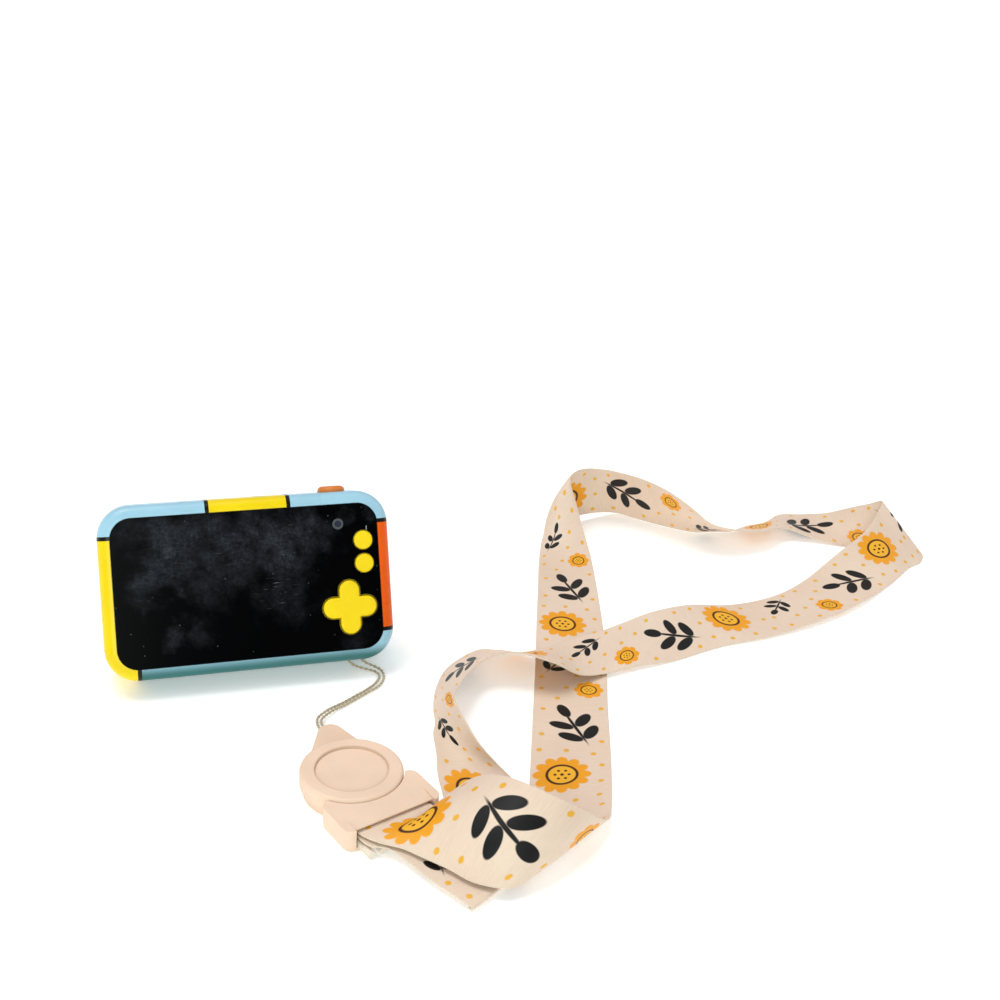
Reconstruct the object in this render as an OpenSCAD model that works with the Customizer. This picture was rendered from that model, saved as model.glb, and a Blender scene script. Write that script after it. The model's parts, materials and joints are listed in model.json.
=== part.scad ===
// Toy digital camera on a neck lanyard. The camera leans back on its lens barrel, screen up and facing
// the viewer (-Y), and the lanyard lies on the same floor (Z = 0).
// The camera's own frame: x to the right, y up the back from the middle, z from the front face backwards.

/* [Body] */
// Width of the camera body
shell_w = 98; // [94:1:120]
// Height of the camera body
shell_h = 59; // [57:1:70]
// Thickness of the camera body
shell_t = 20; // [19:0.5:26]
// Corner radius seen from the back
corner_r = 11.2; // [9:0.2:13]
// Rounding of the long edges
edge_r = 4; // [3.5:0.25:5]
// Wall of the two shells
wall = 2; // [1.6:0.1:2.4]

/* [Lens barrel] */
// Outer diameter of the lens barrel
lens_d = 40; // [38:0.5:42]
// Reach of the barrel in front of the body
lens_proud = 12; // [10:0.5:15]
// Offset of the barrel below the middle of the body
lens_drop = 3; // [1:0.5:4]
// Bore of the barrel
lens_bore_d = 33; // [31:0.5:35]
// Diameter of the lens glass
lens_glass_d = 16.6; // [14:0.2:18]

/* [Back] */
// Border of body colour round the black panel
panel_margin = 4.2; // [3.6:0.1:5]
// Thickness of the black panel
panel_t = 1.2; // [1:0.1:1.5]
// Black border left of the display, from the body's edge
screen_inset = 10.35; // [9.6:0.05:14]
// Black border above and below the display
screen_border = 3.95; // [3.6:0.05:6]
// Room between the display and the direction pad
dpad_screen_gap = 2.8; // [2.6:0.1:6]
// Diameter of the two round buttons
button_d = 6.4; // [5.5:0.1:6.8]
// Distance between the two round buttons
button_pitch = 8; // [7.8:0.1:9]
// How far the round buttons stand out of the panel
button_proud = 1; // [0.6:0.1:1.5]
// Span of the direction pad
dpad_span = 18.5; // [16:0.1:18.5]
// Width of the direction pad's arms
dpad_arm = 7; // [5.5:0.1:7.5]
// Diameter of the small rear lens's ring
selfie_d = 3.7; // [3.4:0.1:4.4]

/* [Top] */
// Diameter of the shutter button
shutter_d = 9.5; // [8:0.1:10]
// How far the shutter button stands out of the top
shutter_proud = 2; // [1.4:0.1:3]
// Diameter of the power button
power_d = 6; // [5:0.1:7]

/* [Lanyard] */
// Diameter of the clip's round top
clip_d = 32; // [30.5:0.5:33]
// Thickness of the woven ribbon
ribbon_t = 0.8; // [0.5:0.1:0.9]
// Diameter of the thin cord
cord_d = 1.1; // [0.8:0.1:1.1]

/* [Hidden] */
$fn = 48;
overrun = 0.5;

// Places on the body, measured from its right and top or bottom edges
button_inset = 9.4;
dpad_side = 6.05;
row_shares = [99, 21, 49, 111]/280;
selfie_inset = 17.8;
shutter_inset = 18;
power_inset = 42.5;
strap_inset = 14.5;
speaker_inset = 18;
speaker_rise = 19.5;
flash_inset = 20;
flash_drop = 12.5;
mic_inset = 29;
mic_rise = 6.5;
screw_inset = 7.8;
screw_drop = 8.3;
usb_y = -3;
card_y = 10;

// The free height of the panel is shared out above, between and below the rear lens, buttons and pad
row_play = shell_h - 2*panel_margin - selfie_d - button_pitch - button_d - dpad_span;
selfie_x = shell_w/2 - selfie_inset;
selfie_y = shell_h/2 - panel_margin - row_shares[0]*row_play - selfie_d/2;
button_x = shell_w/2 - button_inset;
upper_y = selfie_y - selfie_d/2 - row_shares[1]*row_play - button_d/2;
lower_y = upper_y - button_pitch;
dpad_x = shell_w/2 - dpad_side - dpad_span/2;
dpad_y = lower_y - button_d/2 - row_shares[2]*row_play - dpad_span/2;
shutter_x = shell_w/2 - shutter_inset;
power_x = shell_w/2 - power_inset;
screen_w = shell_w - screen_inset - dpad_screen_gap - dpad_span - dpad_side;
screen_h = shell_h - 2*(panel_margin + screen_border);
screen_x = screen_inset - shell_w/2 + screen_w/2;
strap_x = shell_w/2 - strap_inset;
speaker_x = shell_w/2 - speaker_inset;
speaker_y = speaker_rise - shell_h/2;
flash_x = shell_w/2 - flash_inset;
flash_y = shell_h/2 - flash_drop;
mic_x = shell_w/2 - mic_inset;
mic_y = mic_rise - shell_h/2;
screw_x = shell_w/2 - screw_inset;
screw_y = shell_h/2 - screw_drop;

// Layers from the back inwards
panel_sunk = 0.2;
gasket_t = 0.2;
gasket_rim = 3;
web_t = 1.6;
board_drop = 1.8;
board_t = 1.2;
board_gap = 2.8;
recess_gap = 0.15;
split_z = shell_t/2;
panel_top_z = shell_t - panel_sunk;
panel_z = panel_top_z - panel_t;
recess_z = panel_z - gasket_t;
web_z = recess_z - web_t;
board_top_z = web_z - board_drop;
board_z = board_top_z - board_t;
panel_w = shell_w - 2*panel_margin;
panel_h = shell_h - 2*panel_margin;
panel_r = corner_r - panel_margin;

// Lens barrel
rim_r = 1;
lens_floor = 2;
spigot_r = 15;
spigot_h = 3;
spigot_gap = 0.1;
eye_r = 4.6;
groove_h = 0.8;
groove_deep = 0.6;
groove_at = [3, 5.2];
baffle_gap = 0.2;
baffle_h = 7;
baffle_steps = 4;
glass_gap = 0.1;
glass_edge = 1.2;
glass_crown = 1.2;
glass_facets = 360;
barrel_gap = 0.2;
module_w = 9;
module_h = 5;

// Lean: the barrel's rim and the rounded front bottom edge touch the floor together
lens_low = shell_h/2 - lens_drop - lens_d/2;
lean_a = lens_low + rim_r - edge_r;
lean_b = lens_proud - rim_r + edge_r;
lean = atan2(lean_b, lean_a) - asin((edge_r - rim_r)/norm([lean_a, lean_b]));
floor_drop = edge_r*(sin(lean) + cos(lean) - 1);
reach_back = (lens_low + lens_d - rim_r)*cos(lean) + (lens_proud - rim_r)*sin(lean) + rim_r;
reach_front = edge_r*cos(lean) - (shell_t - edge_r)*sin(lean) - edge_r;
mid_y = (reach_back + reach_front)/2;

// Screws and their bosses
boss_r = 2.3;
boss_root = 0.8;
boss_clear = 0.4;
pilot_r = 0.9;
shank_r = 0.85;
shank_gap = 0.2;
shank_end = 3.5;
head_r = 1.6;
head_h = 1;
head_gap = 0.15;
head_sunk = 0.2;
drive_w = 0.5;
drive_deep = 0.4;
board_boss_r = 1.8;
board_shank_r = 0.7;
board_shank_up = 1.5;
board_screw_inset = 6.6;
board_screw_rise = 16.5;
board_screw_side = 7.7;
board_screw_above = 3.6;
board_screw_below = 10;
board_screw_x = dpad_x - board_screw_side;
board_screws_at = [
    [board_screw_inset - shell_w/2, board_screw_rise - shell_h/2],
    [board_screw_x, lower_y + board_screw_above],
    [board_screw_x, dpad_y - board_screw_below]];

// Keys on the back
key_gap = 0.3;
key_round = 0.6;
flange_over = 0.5;
flange_t = 0.8;
flange_gap = 0.1;
button_foot_r = 2;
button_foot_h = 0.8;
slot_gap = 0.4;
dpad_gap = 0.5;
dpad_round = 0.8;
dpad_flange = 0.9;
dpad_flange_drop = 0.75;
dpad_sway = 0.6;
dimple_r = 2.6;
dimple_deep = 0.4;
pivot_r = 1.5;
pivot_t = 0.5;
pivot_gap = 0.2;
membrane_t = 1.1;
membrane_r = 10.6;
membrane_edge = 4.6;
dome_r = 2.2;
dome_h = 0.4;
dome_top_share = 0.7;
dome_pocket_gap = 0.3;
dome_pocket_rise = 0.1;
dpad_dome_reach = 6.2;
domes_at = concat(
    [[button_x, upper_y], [button_x, lower_y]],
    [for (a = [0:90:270]) [dpad_x + dpad_dome_reach*cos(a), dpad_y + dpad_dome_reach*sin(a)]]);

// Rear camera, display
screen_gap = 0.3;
screen_glass_t = 0.8;
screen_bezel = 1.2;
selfie_body = 6;
selfie_body_h = 3;
selfie_wall = 0.7;
selfie_gap = 0.05;
selfie_out = 0.1;
selfie_glass_h = 1.4;
selfie_glass_up = 0.2;

// Top buttons and their switches
shutter_round = 1.6;
shutter_travel = 1;
power_round = 0.4;
power_travel = 0.6;
top_flange_over = 0.75;
top_flange_t = 0.9;
switch_w = 7;
switch_deep = 3.5;
switch_h = 6.8;
plunger_r = 1;
plunger_h = 0.8;
plunger_gap = 0.1;
top_flange_y = shell_h/2 - wall - key_gap - top_flange_t;

// Pieces on the front wall
battery_inset = 5;
battery_clear = 3;
battery_end_gap = 0.9;
battery_t = 6;
battery_round = 3;
battery_edge = 2;
battery_w = shell_w/2 - battery_inset - spigot_r - battery_clear;
battery_h = 2*(screw_y - boss_r - battery_end_gap);
speaker_r = 8;
speaker_h = 4;
speaker_cone_r = 6.4;
speaker_cone_deep = 1;
grille_d = 1.4;
grille_pitch = 2.6;
grille_rings = 2;
flash_r = 3.4;
flash_gap = 0.05;
flash_flange = 1;
flash_flange_t = 0.8;
flash_proud = 0.3;
led_w = 4;
led_t = 1.2;
mic_r = 2;
mic_h = 2;
mic_hole_r = 0.6;

// Sockets in the left side
usb_w = 8;
usb_h = 2.8;
usb_deep = 5.8;
usb_wall = 0.4;
usb_tongue_t = 0.7;
usb_tongue_w = 5.4;
socket_inset = 0.8;
socket_gap = 0.3;
card_w = 14;
card_h = 1.8;
card_deep = 15;
card_wall = 0.3;

// Strap pocket
pocket_w = 8;
pocket_deep = 5.6;
pocket_wall = 1.2;
pocket_low_z = 11.4;
pocket_gap = 0.4;
pin_r = 1.5;
pin_in = 2.6;
pin_seat = 0.7;
pocket_high_z = web_z - boss_clear;

// Clip: its own x runs from the disc to the ribbon, and the cord's neck stands turned from that line
clip_at = [22, -85.6, 0];
clip_turn = -69;
neck_turn = -16.6;
base_inset = 1;
base_t = 3.2;
neck_reach = 27;
neck_tip_r = 4;
channel_start = 2;
channel_w = 14.6;
channel_floor = 0.8;
disc_t = 4;
disc_rim_h = 0.8;
disc_rim_w = 4.7;
disc_round = 1.2;
buckle_start = 9;
buckle_end = 25.5;
buckle_w = 33;
buckle_h = 7.2;
buckle_round = 3;
buckle_gap = 0.3;
buckle_front = 20.5;
roof_start = 18.5;
roof_end = 24;
roof_end_h = 6.4;
lip_t = 1;
jaw_w = 27.4;
ribbon_slot_low = 2.9;
ribbon_slot_high = 6;
ribbon_slot_start = 16.5;
roof_fall_share = (buckle_h - roof_end_h)/(roof_end - roof_start);
tongue_start = 3;
tongue_end = 17;
tongue_w = 14;
tongue_low = 1.3;
tongue_t = 1.8;
clamp_start = 20.8;
clamp_end = 31;
clamp_w = 26.2;
clamp_t = 1.6;
clamp_teeth = 7;
tooth_r = 1.2;
tooth_len = 3.6;

// Route of the thin cord, from the clip's neck round the strap pin and back
cord_steps = 2;
cord_sides = 8;
cord_route = [
    [19, -56.2, 1.8], [18.2, -52.6, 1.8], [19, -48.6, 1.5], [23, -44.3, 1], [28, -41, 0.6], [33, -37.6, 0.6],
    [37.5, -34.5, 0.6], [41, -32, 0.6], [43.3, -28.8, 0.6], [44.3, -25.3, 0.6], [43.8, -22.2, 0.8],
    [41.5, -20.4, 1.6], [38.6, -19.9, 3.2], [36.6, -18.6, 5.2], [36.6, -18.1, 6.9], [36, -17.5, 8.2],
    [34.5, -17.3, 8.8], [33, -17.5, 8.2], [32.4, -18.1, 6.9], [32.6, -19.1, 4.7], [34.2, -20.2, 2.9],
    [36.9, -20.9, 1.7], [39.6, -21.5, 1], [41.7, -22.8, 0.7], [42.7, -25.1, 0.6], [41.9, -27.8, 0.6],
    [39.7, -30.7, 0.6], [36.5, -33.4, 0.6], [32.1, -36.4, 0.6], [27.1, -39.8, 0.6], [22, -43.2, 1],
    [17.7, -47.9, 1.5], [16.8, -52.3, 1.8], [17.6, -55.8, 1.8]];

// Route of the ribbon: its left and right edges, station by station, out of the buckle and back into it
ribbon_route = [
    // Out of the buckle and up into a curl
    [[16.9, -107.1, 4.9], [40.2, -98.2, 4.9]], [[19.6, -112.9, 4.9], [42.4, -103.9, 5]],
    [[24, -117.4, 4.9], [45.6, -107, 6.4]], [[30.5, -121.2, 4.6], [51.5, -105.5, 12]],
    [[35.5, -126, 4.4], [57, -110, 18]], [[41.5, -132, 4.2], [62, -117.5, 22]],
    [[46.5, -138, 4], [68, -125, 23]], [[52, -141.5, 4], [75, -129, 20.5]],
    [[56.5, -143, 4], [82, -128.5, 15.5]], [[60, -141.5, 3.8], [88.5, -125, 9]],
    [[63.5, -135, 3.4], [93.5, -120.5, 4.5]], [[67, -126, 2.6], [97, -113.5, 1.6]],
    [[72, -110, 1.6], [100, -106, 0.6]], [[79, -89, 0.8], [104.5, -93, 0.6]],
    // Flat run away to the right
    [[86, -68, 0.6], [110, -76, 0.6]], [[92, -50, 0.6], [116, -57, 0.6]],
    [[98, -32, 0.6], [122.5, -38, 0.6]], [[107, -4, 2], [131, -10, 0.6]],
    [[114.5, 19, 2.6], [138.5, 18, 0.6]], [[122, 42, 2], [145, 45, 1]],
    // Twisted over its left edge, so that the other face shows from here on
    [[126, 53, 1.4], [145.6, 57.5, 6.5]], [[129, 61, 1], [145, 67, 14.5]], [[132, 67, 1], [144.6, 76, 21.8]],
    [[139, 73.5, 2], [148.4, 79.8, 23.8]], [[149.5, 79, 3], [154, 81.2, 24.2]],
    [[160.5, 82.5, 2.4], [159.5, 79.6, 24.2]],
    // On edge along the far side, then down and up into the far turn
    [[171, 84, 0.6], [165, 77, 24]], [[179, 76, 0.6], [174, 68, 24]], [[189, 67, 0.6], [182, 58, 22.5]],
    [[198, 61, 0.6], [189, 48, 19]], [[206, 60, 0.6], [196, 42, 14]], [[215, 59, 0.6], [205, 39, 12]],
    [[223, 62, 0.6], [213, 40, 10]], [[233, 64, 0.6], [222, 42, 8.5]], [[243, 70, 0.6], [234, 48, 6]],
    [[253, 68, 1], [244, 45, 3]], [[262, 62, 4], [254, 40, 1]], [[268, 54, 10], [264, 35, 0.6]],
    [[273, 47, 15], [275, 31, 0.6]], [[276, 43, 18], [288, 27, 0.6]],
    // Back towards the camera, over the first run
    [[271, 37, 16], [284, 19, 0.6]], [[259, 25, 14], [276, 15, 0.6]], [[243, 19, 7], [260, 3, 0.6]],
    [[224, 9, 2], [238, -11, 2]], [[206, 1, 1], [217, -20, 2]], [[187, -2, 1], [194, -26, 1]],
    [[168, -4, 4], [171, -29, 0.6]], [[151, -9, 5.5], [150, -35, 0.6]], [[137, -14, 5], [133, -38, 2]],
    [[126.5, -18, 4.8], [120, -41, 2.2]], [[113, -21, 4], [110, -44, 5]],
    [[103, -24, 4], [99.5, -46.5, 12.5]], [[96, -20, 0.6], [89.5, -41, 14]],
    // Round the left bend, half on edge
    [[88, -17, 0.6], [83, -38, 13]], [[80, -16, 0.6], [76, -38, 10.5]], [[67.5, -25, 0.6], [67.5, -48, 12]],
    [[60.5, -37, 0.6], [61, -59, 12.5]], [[57, -48, 0.6], [60, -68, 13]], [[55.5, -57, 0.6], [61, -76, 12]],
    [[53.5, -63, 0.6], [63.5, -82, 8.5]], [[52, -74, 0.6], [68, -87, 4]], [[50, -84, 0.6], [72, -93, 1.2]],
    [[49, -96, 0.6], [73, -100, 0.6]],
    // Flat, folded over at the front and back into the buckle
    [[47, -112, 0.6], [71.5, -114, 0.6]], [[46, -126, 0.6], [69, -122, 0.6]],
    [[45, -138, 0.6], [67.5, -127.5, 0.6]], [[44.5, -145, 0.6], [66.5, -130.5, 0.6]],
    [[44.8, -146, 1.3], [67, -131.2, 1.3]], [[44, -145, 2], [66, -130.5, 2]],
    [[36, -133, 2.3], [58.5, -120, 2.3]], [[27.5, -119.5, 3.2], [51, -110, 3.2]],
    [[21.4, -116.8, 3.6], [43.7, -107.8, 3.6]], [[16.9, -107.1, 3.5], [40.2, -98.2, 3.5]]];

// Frames

// Stands the camera's own frame on the floor, leaning on the lens barrel
module leaning() translate([0, -mid_y, -floor_drop]) rotate([lean, 0, 0]) translate([0, shell_h/2, 0])
    children();

// Puts a shape drawn along +z on the lens axis, pointing out of the front
module on_lens_axis() translate([0, -lens_drop, 0]) mirror([0, 0, 1]) children();

// Puts a shape drawn along +z on a top button's axis, with heights counted from the body's middle
module on_top(x) translate([x, 0, split_z]) rotate([-90, 0, 0]) children();

// The clip's own frame on the floor
module on_clip() translate(clip_at) rotate(clip_turn) children();

// The four corner screws' axes
module at_screws() for (sx = [0, 1], sy = [0, 1]) mirror([sx, 0, 0]) mirror([0, sy, 0])
    translate([screw_x, screw_y, 0]) children();

module at_board_screws() for (p = board_screws_at) translate(p) children();

// Shapes

module quarter(r) intersection() {
    circle(r);
    square(r);
}

module half_disc(r) intersection() {
    circle(r);
    translate([-r, 0]) square([2*r, r]);
}

// Rectangle with round corners, centred
module round_rect(w, h, r) {
    square([w - 2*r, h], center = true);
    square([w, h - 2*r], center = true);
    for (sx = [0, 1], sy = [0, 1]) mirror([sx, 0]) mirror([0, sy])
        translate([w/2 - r, h/2 - r]) quarter(r);
}

// Bar with round ends, centred
module bar(l, w) {
    square([l - w, w], center = true);
    for (s = [0, 1]) mirror([s, 0]) translate([(l - w)/2, 0]) rotate(-90) half_disc(w/2);
}

// Cross-section with its four corners rounded, from height 0 to t
module round_section(w, t, r) translate([0, t/2]) round_rect(w, t, r);

// Cross-section with its two upper corners rounded
module domed_section(w, h, r) {
    translate([-w/2, 0]) square([w, h - r]);
    translate([r - w/2, 0]) square([w - 2*r, h]);
    for (s = [0, 1]) mirror([s, 0]) translate([w/2 - r, h - r]) quarter(r);
}

// Pillow-edged slab: corner radius cr seen from above, edge rounding er
module slab(w, h, t, cr, er) {
    rotate([90, 0, 90]) linear_extrude(w - 2*cr, center = true) round_section(h, t, er);
    rotate([90, 0, 0]) linear_extrude(h - 2*cr, center = true) round_section(w, t, er);
    for (sx = [0, 1], sy = [0, 1]) mirror([sx, 0, 0]) mirror([0, sy, 0])
        translate([w/2 - cr, h/2 - cr, 0]) rotate_extrude(angle = 90) intersection() {
            round_section(2*cr, t, er);
            square([cr, t]);
        }
}

// Bar with round ends and a rounded upper edge
module soft_bar(l, w, h, r) {
    rotate([90, 0, 90]) linear_extrude(l - w, center = true) domed_section(w, h, r);
    for (s = [0, 1]) mirror([s, 0, 0]) translate([(l - w)/2, 0, 0]) rotate(-90)
        rotate_extrude(angle = 180) intersection() {
            domed_section(w, h, r);
            square([w/2, h]);
        }
}

// Round cap with a rounded upper edge
module soft_cap(r, h, er) rotate_extrude() intersection() {
    domed_section(2*r, h, er);
    square([r, h]);
}

// Direction pad outline, grown by a margin all round
module dpad_outline(grow) for (a = [0, 90]) rotate(a) bar(dpad_span + 2*grow, dpad_arm + 2*grow);

// Opening behind the two round buttons, grown by a margin
module button_opening(grow) translate([button_x, (upper_y + lower_y)/2]) rotate(90)
    bar(button_pitch + button_d + 2*grow, button_d + 2*grow);

// Openings behind the keys that the web, the gasket and the panel's frame share
module key_openings() {
    button_opening(flange_over + slot_gap);
    translate([dpad_x, dpad_y]) dpad_outline(dpad_flange + dpad_sway);
    translate([selfie_x, selfie_y]) square(selfie_body + 2*screen_gap, center = true);
}

// Sweeps

function unit(v) = v/norm(v);
function heading(path, i) = unit(path[min(i + 1, len(path) - 1)] - path[max(i - 1, 0)]);

// Point a share t of the way from point i to the next, on a smooth curve through all points
function curve_point(p, i, t) =
    let (a = p[max(i - 1, 0)], b = p[i], c = p[i + 1], d = p[min(i + 2, len(p) - 1)])
    b + (c - a)*t/2 + (2*a - 5*b + 4*c - d)*t*t/2 + (3*b - a - 3*c + d)*t*t*t/2;
function smooth_route(p, steps) = concat(
    [for (i = [0:len(p) - 2], k = [0:steps - 1]) curve_point(p, i, k/steps)], [p[len(p) - 1]]);

// Normals carried along a path without twist
function carried_normals(path, done) = len(done) == len(path) ? done
    : let (t = heading(path, len(done)), n = done[len(done) - 1])
        carried_normals(path, concat(done, [unit(n - (n*t)*t)]));

// Closed skin over rings of points that run round the path's heading. The two halves of a ring are split
// along opposite diagonals, so that both faces of a twisted band fold on the same lines
module skin(rings) {
    sides = len(rings[0]);
    last = len(rings) - 1;
    at = function (i, k) i*sides + k % sides;
    polyhedron(
        points = [for (ring = rings) each ring],
        faces = concat(
            [for (k = [1:sides - 2]) [at(0, 0), at(0, k), at(0, k + 1)]],
            [for (k = [1:sides - 2]) [at(last, 0), at(last, k + 1), at(last, k)]],
            [for (i = [0:last - 1], k = [0:sides - 1]) each 2*k < sides
                ? [[at(i, k), at(i + 1, k), at(i + 1, k + 1)], [at(i, k), at(i + 1, k + 1), at(i, k + 1)]]
                : [[at(i, k), at(i + 1, k), at(i, k + 1)],
                    [at(i + 1, k), at(i + 1, k + 1), at(i, k + 1)]]]));
}

module tube(path, d, sides) {
    normals = carried_normals(path, [unit(cross(heading(path, 0), [0, 0, 1]))]);
    skin([for (i = [0:len(path) - 1])
        let (n = normals[i], b = cross(heading(path, i), n))
        [for (k = [0:sides - 1]) path[i] + (n*cos(360*k/sides) + b*sin(360*k/sides))*d/2]]);
}

// Flat band between a left and a right edge
module band(edges, t) {
    middle = [for (e = edges) (e[0] + e[1])/2];
    skin([for (i = [0:len(edges) - 1])
        let (l = edges[i][0], r = edges[i][1], n = unit(cross(heading(middle, i), r - l))*t/2)
        [r - n, r + n, l + n, l - n]]);
}

// Shells

module shell_block() difference() {
    slab(shell_w, shell_h, shell_t, corner_r, edge_r);
    translate([0, 0, wall])
        slab(shell_w - 2*wall, shell_h - 2*wall, web_z - wall, corner_r - wall, edge_r - wall);
    on_top(shutter_x) cylinder(r = shutter_d/2 + key_gap, h = shell_h);
    on_top(power_x) cylinder(r = power_d/2 + key_gap, h = shell_h);
}

// Round holes of the speaker, in rings about one middle hole
module speaker_grille() for (ring = [0:grille_rings], k = [0:max(6*ring - 1, 0)])
    rotate(60*k/max(ring, 1)) translate([ring*grille_pitch, 0, -overrun])
        cylinder(d = grille_d, h = wall + 2*overrun);

module front_shell() color("#a8d5e9") leaning() difference() {
    union() {
        intersection() {
            shell_block();
            translate([-shell_w, -shell_h, 0]) cube([2*shell_w, 2*shell_h, split_z]);
        }
        at_screws() translate([0, 0, wall - boss_root])
            cylinder(r = boss_r, h = split_z - wall + boss_root);
    }
    at_screws() translate([0, 0, shank_end - overrun]) cylinder(r = pilot_r, h = split_z);
    translate([0, -lens_drop, -overrun]) cylinder(r = spigot_r + spigot_gap, h = wall + 2*overrun);
    translate([flash_x, flash_y, -overrun]) cylinder(r = flash_r + flash_gap, h = wall + 2*overrun);
    translate([mic_x, mic_y, -overrun]) cylinder(r = mic_hole_r, h = wall + 2*overrun);
    translate([speaker_x, speaker_y, 0]) speaker_grille();
}

// Box that carries the strap pin behind the bottom wall, without its hollow
module pocket_block()
    translate([strap_x - pocket_w/2 - pocket_wall, (wall - shell_h)/2, pocket_low_z - pocket_wall])
        cube([pocket_w + 2*pocket_wall, pocket_deep + pocket_wall - wall/2,
            web_z + boss_root - pocket_low_z + pocket_wall]);

module socket_opening(y, w, h)
    translate([-shell_w/2 - overrun, y - w/2 - socket_gap, board_z - h - socket_gap])
        cube([wall + 2*overrun, w + 2*socket_gap, h + 2*socket_gap]);

module rear_shell() color("#a8d5e9") leaning() difference() {
    union() {
        intersection() {
            shell_block();
            translate([-shell_w, -shell_h, split_z]) cube([2*shell_w, 2*shell_h, shell_t]);
        }
        at_screws() translate([0, 0, split_z]) cylinder(r = boss_r, h = web_z + boss_root - split_z);
        at_board_screws() translate([0, 0, board_top_z])
            cylinder(r = board_boss_r, h = board_drop + boss_root);
        pocket_block();
    }
    translate([0, 0, recess_z]) linear_extrude(shell_t)
        round_rect(panel_w + 2*recess_gap, panel_h + 2*recess_gap, panel_r + recess_gap);
    translate([0, 0, web_z - overrun]) linear_extrude(shell_t) {
        translate([screen_x, 0]) square([screen_w + 2*screen_gap, screen_h + 2*screen_gap], center = true);
        key_openings();
    }
    at_screws() {
        translate([0, 0, split_z - overrun]) cylinder(r = shank_r + shank_gap, h = shell_t);
        translate([0, 0, recess_z - head_h - head_sunk]) cylinder(r = head_r + head_gap, h = shell_t);
    }
    at_board_screws() translate([0, 0, board_top_z - overrun])
        cylinder(r = board_shank_r, h = board_shank_up + overrun);
    translate([strap_x - pocket_w/2, -shell_h/2 - overrun, pocket_low_z])
        cube([pocket_w, pocket_deep + overrun, pocket_high_z - pocket_low_z]);
    translate([strap_x, pin_in - shell_h/2, pocket_low_z - pin_seat])
        cylinder(r = pin_r, h = pocket_high_z - pocket_low_z + 2*pin_seat);
    socket_opening(usb_y, usb_w, usb_h);
    socket_opening(card_y, card_w - 2*card_wall, card_h);
}

module strap_pin() color("#c9ccd0") leaning()
    translate([strap_x, pin_in - shell_h/2, pocket_low_z - pin_seat])
        cylinder(r = pin_r, h = pocket_high_z - pocket_low_z + 2*pin_seat);

// Cross-slotted screw head on top of a shank that ends at height 0
module screw(r, length) difference() {
    union() {
        cylinder(r = r, h = length);
        translate([0, 0, length]) cylinder(r = head_r, h = head_h);
    }
    for (a = [0, 90]) rotate(a) translate([-head_r/2, -drive_w/2, length + head_h - drive_deep])
        cube([head_r, drive_w, drive_deep + overrun]);
}

module shell_screws() color("#b9bcc0") leaning() at_screws() translate([0, 0, shank_end])
    screw(shank_r, recess_z - head_h - head_sunk - shank_end);

module board_screws() color("#b9bcc0") leaning() at_board_screws()
    translate([0, 0, board_top_z + board_shank_up]) mirror([0, 0, 1])
        screw(board_shank_r, board_shank_up + board_t);

// Back panel and what lies behind it

module rear_panel() color("#08080a") leaning() translate([0, 0, panel_z]) linear_extrude(panel_t)
    difference() {
        round_rect(panel_w, panel_h, panel_r);
        for (y = [upper_y, lower_y]) translate([button_x, y]) circle(button_d/2 + key_gap);
        translate([dpad_x, dpad_y]) dpad_outline(dpad_gap);
        translate([selfie_x, selfie_y]) circle(selfie_d/2 + selfie_gap);
    }

module panel_gasket() color("#3a3a3c") leaning() translate([0, 0, recess_z]) linear_extrude(gasket_t)
    difference() {
        round_rect(panel_w, panel_h, panel_r);
        round_rect(panel_w - 2*gasket_rim, panel_h - 2*gasket_rim, panel_r - gasket_rim);
        key_openings();
    }

module lcd_module() color("#1b1d22") leaning() translate([screen_x, 0, board_top_z]) {
    linear_extrude(recess_z - board_top_z - screen_glass_t) square([screen_w, screen_h], center = true);
    translate([0, 0, recess_z - board_top_z - screen_glass_t]) linear_extrude(screen_glass_t)
        square([screen_w - 2*screen_bezel, screen_h - 2*screen_bezel], center = true);
}

// Clears a boss and the corner of the board beyond it
module corner_notch(r) {
    circle(r);
    translate([-r, 0]) square(corner_r);
    translate([0, -r]) square(corner_r);
}

module main_board() color("#1f6b45") leaning() translate([0, 0, board_z]) linear_extrude(board_t)
    difference() {
        round_rect(shell_w - 2*(wall + board_gap), shell_h - 2*(wall + board_gap),
            corner_r - wall - board_gap);
        at_screws() corner_notch(boss_r + boss_clear);
        at_board_screws() circle(board_shank_r + shank_gap);
        translate([strap_x - pocket_w/2 - pocket_wall - pocket_gap, -shell_h]) square(
            [pocket_w + 2*(pocket_wall + pocket_gap), shell_h/2 + pocket_deep + pocket_wall + pocket_gap]);
    }

module rear_camera() color("#2a2a2e") leaning() translate([selfie_x, selfie_y, board_top_z])
    linear_extrude(selfie_body_h) square(selfie_body, center = true);

module rear_lens_ring() color("#8c9096") leaning()
    translate([selfie_x, selfie_y, board_top_z + selfie_body_h])
        linear_extrude(panel_top_z + selfie_out - board_top_z - selfie_body_h) difference() {
            circle(selfie_d/2);
            circle(selfie_d/2 - selfie_wall);
        }

module rear_lens_glass() color("#101216") leaning()
    translate([selfie_x, selfie_y, board_top_z + selfie_body_h + selfie_glass_up])
        cylinder(r = selfie_d/2 - selfie_wall - selfie_gap, h = selfie_glass_h);

// Round button: cap above the panel, flange under it and a foot over its switch
module round_button(y) color("#fdda04") leaning() translate([button_x, y, 0]) {
    translate([0, 0, panel_z - flange_gap - overrun])
        soft_cap(button_d/2, panel_t + button_proud + flange_gap + overrun, key_round);
    translate([0, 0, panel_z - flange_gap - flange_t]) cylinder(r = button_d/2 + flange_over, h = flange_t);
    translate([0, 0, panel_z - flange_gap - flange_t - button_foot_h])
        cylinder(r = button_foot_r, h = button_foot_h);
}

module button_upper() round_button(upper_y);

module button_lower() round_button(lower_y);

dpad_low_z = panel_z - dpad_flange_drop - flange_t;
pivot_z = dpad_low_z - pivot_gap - pivot_t/2;

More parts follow.
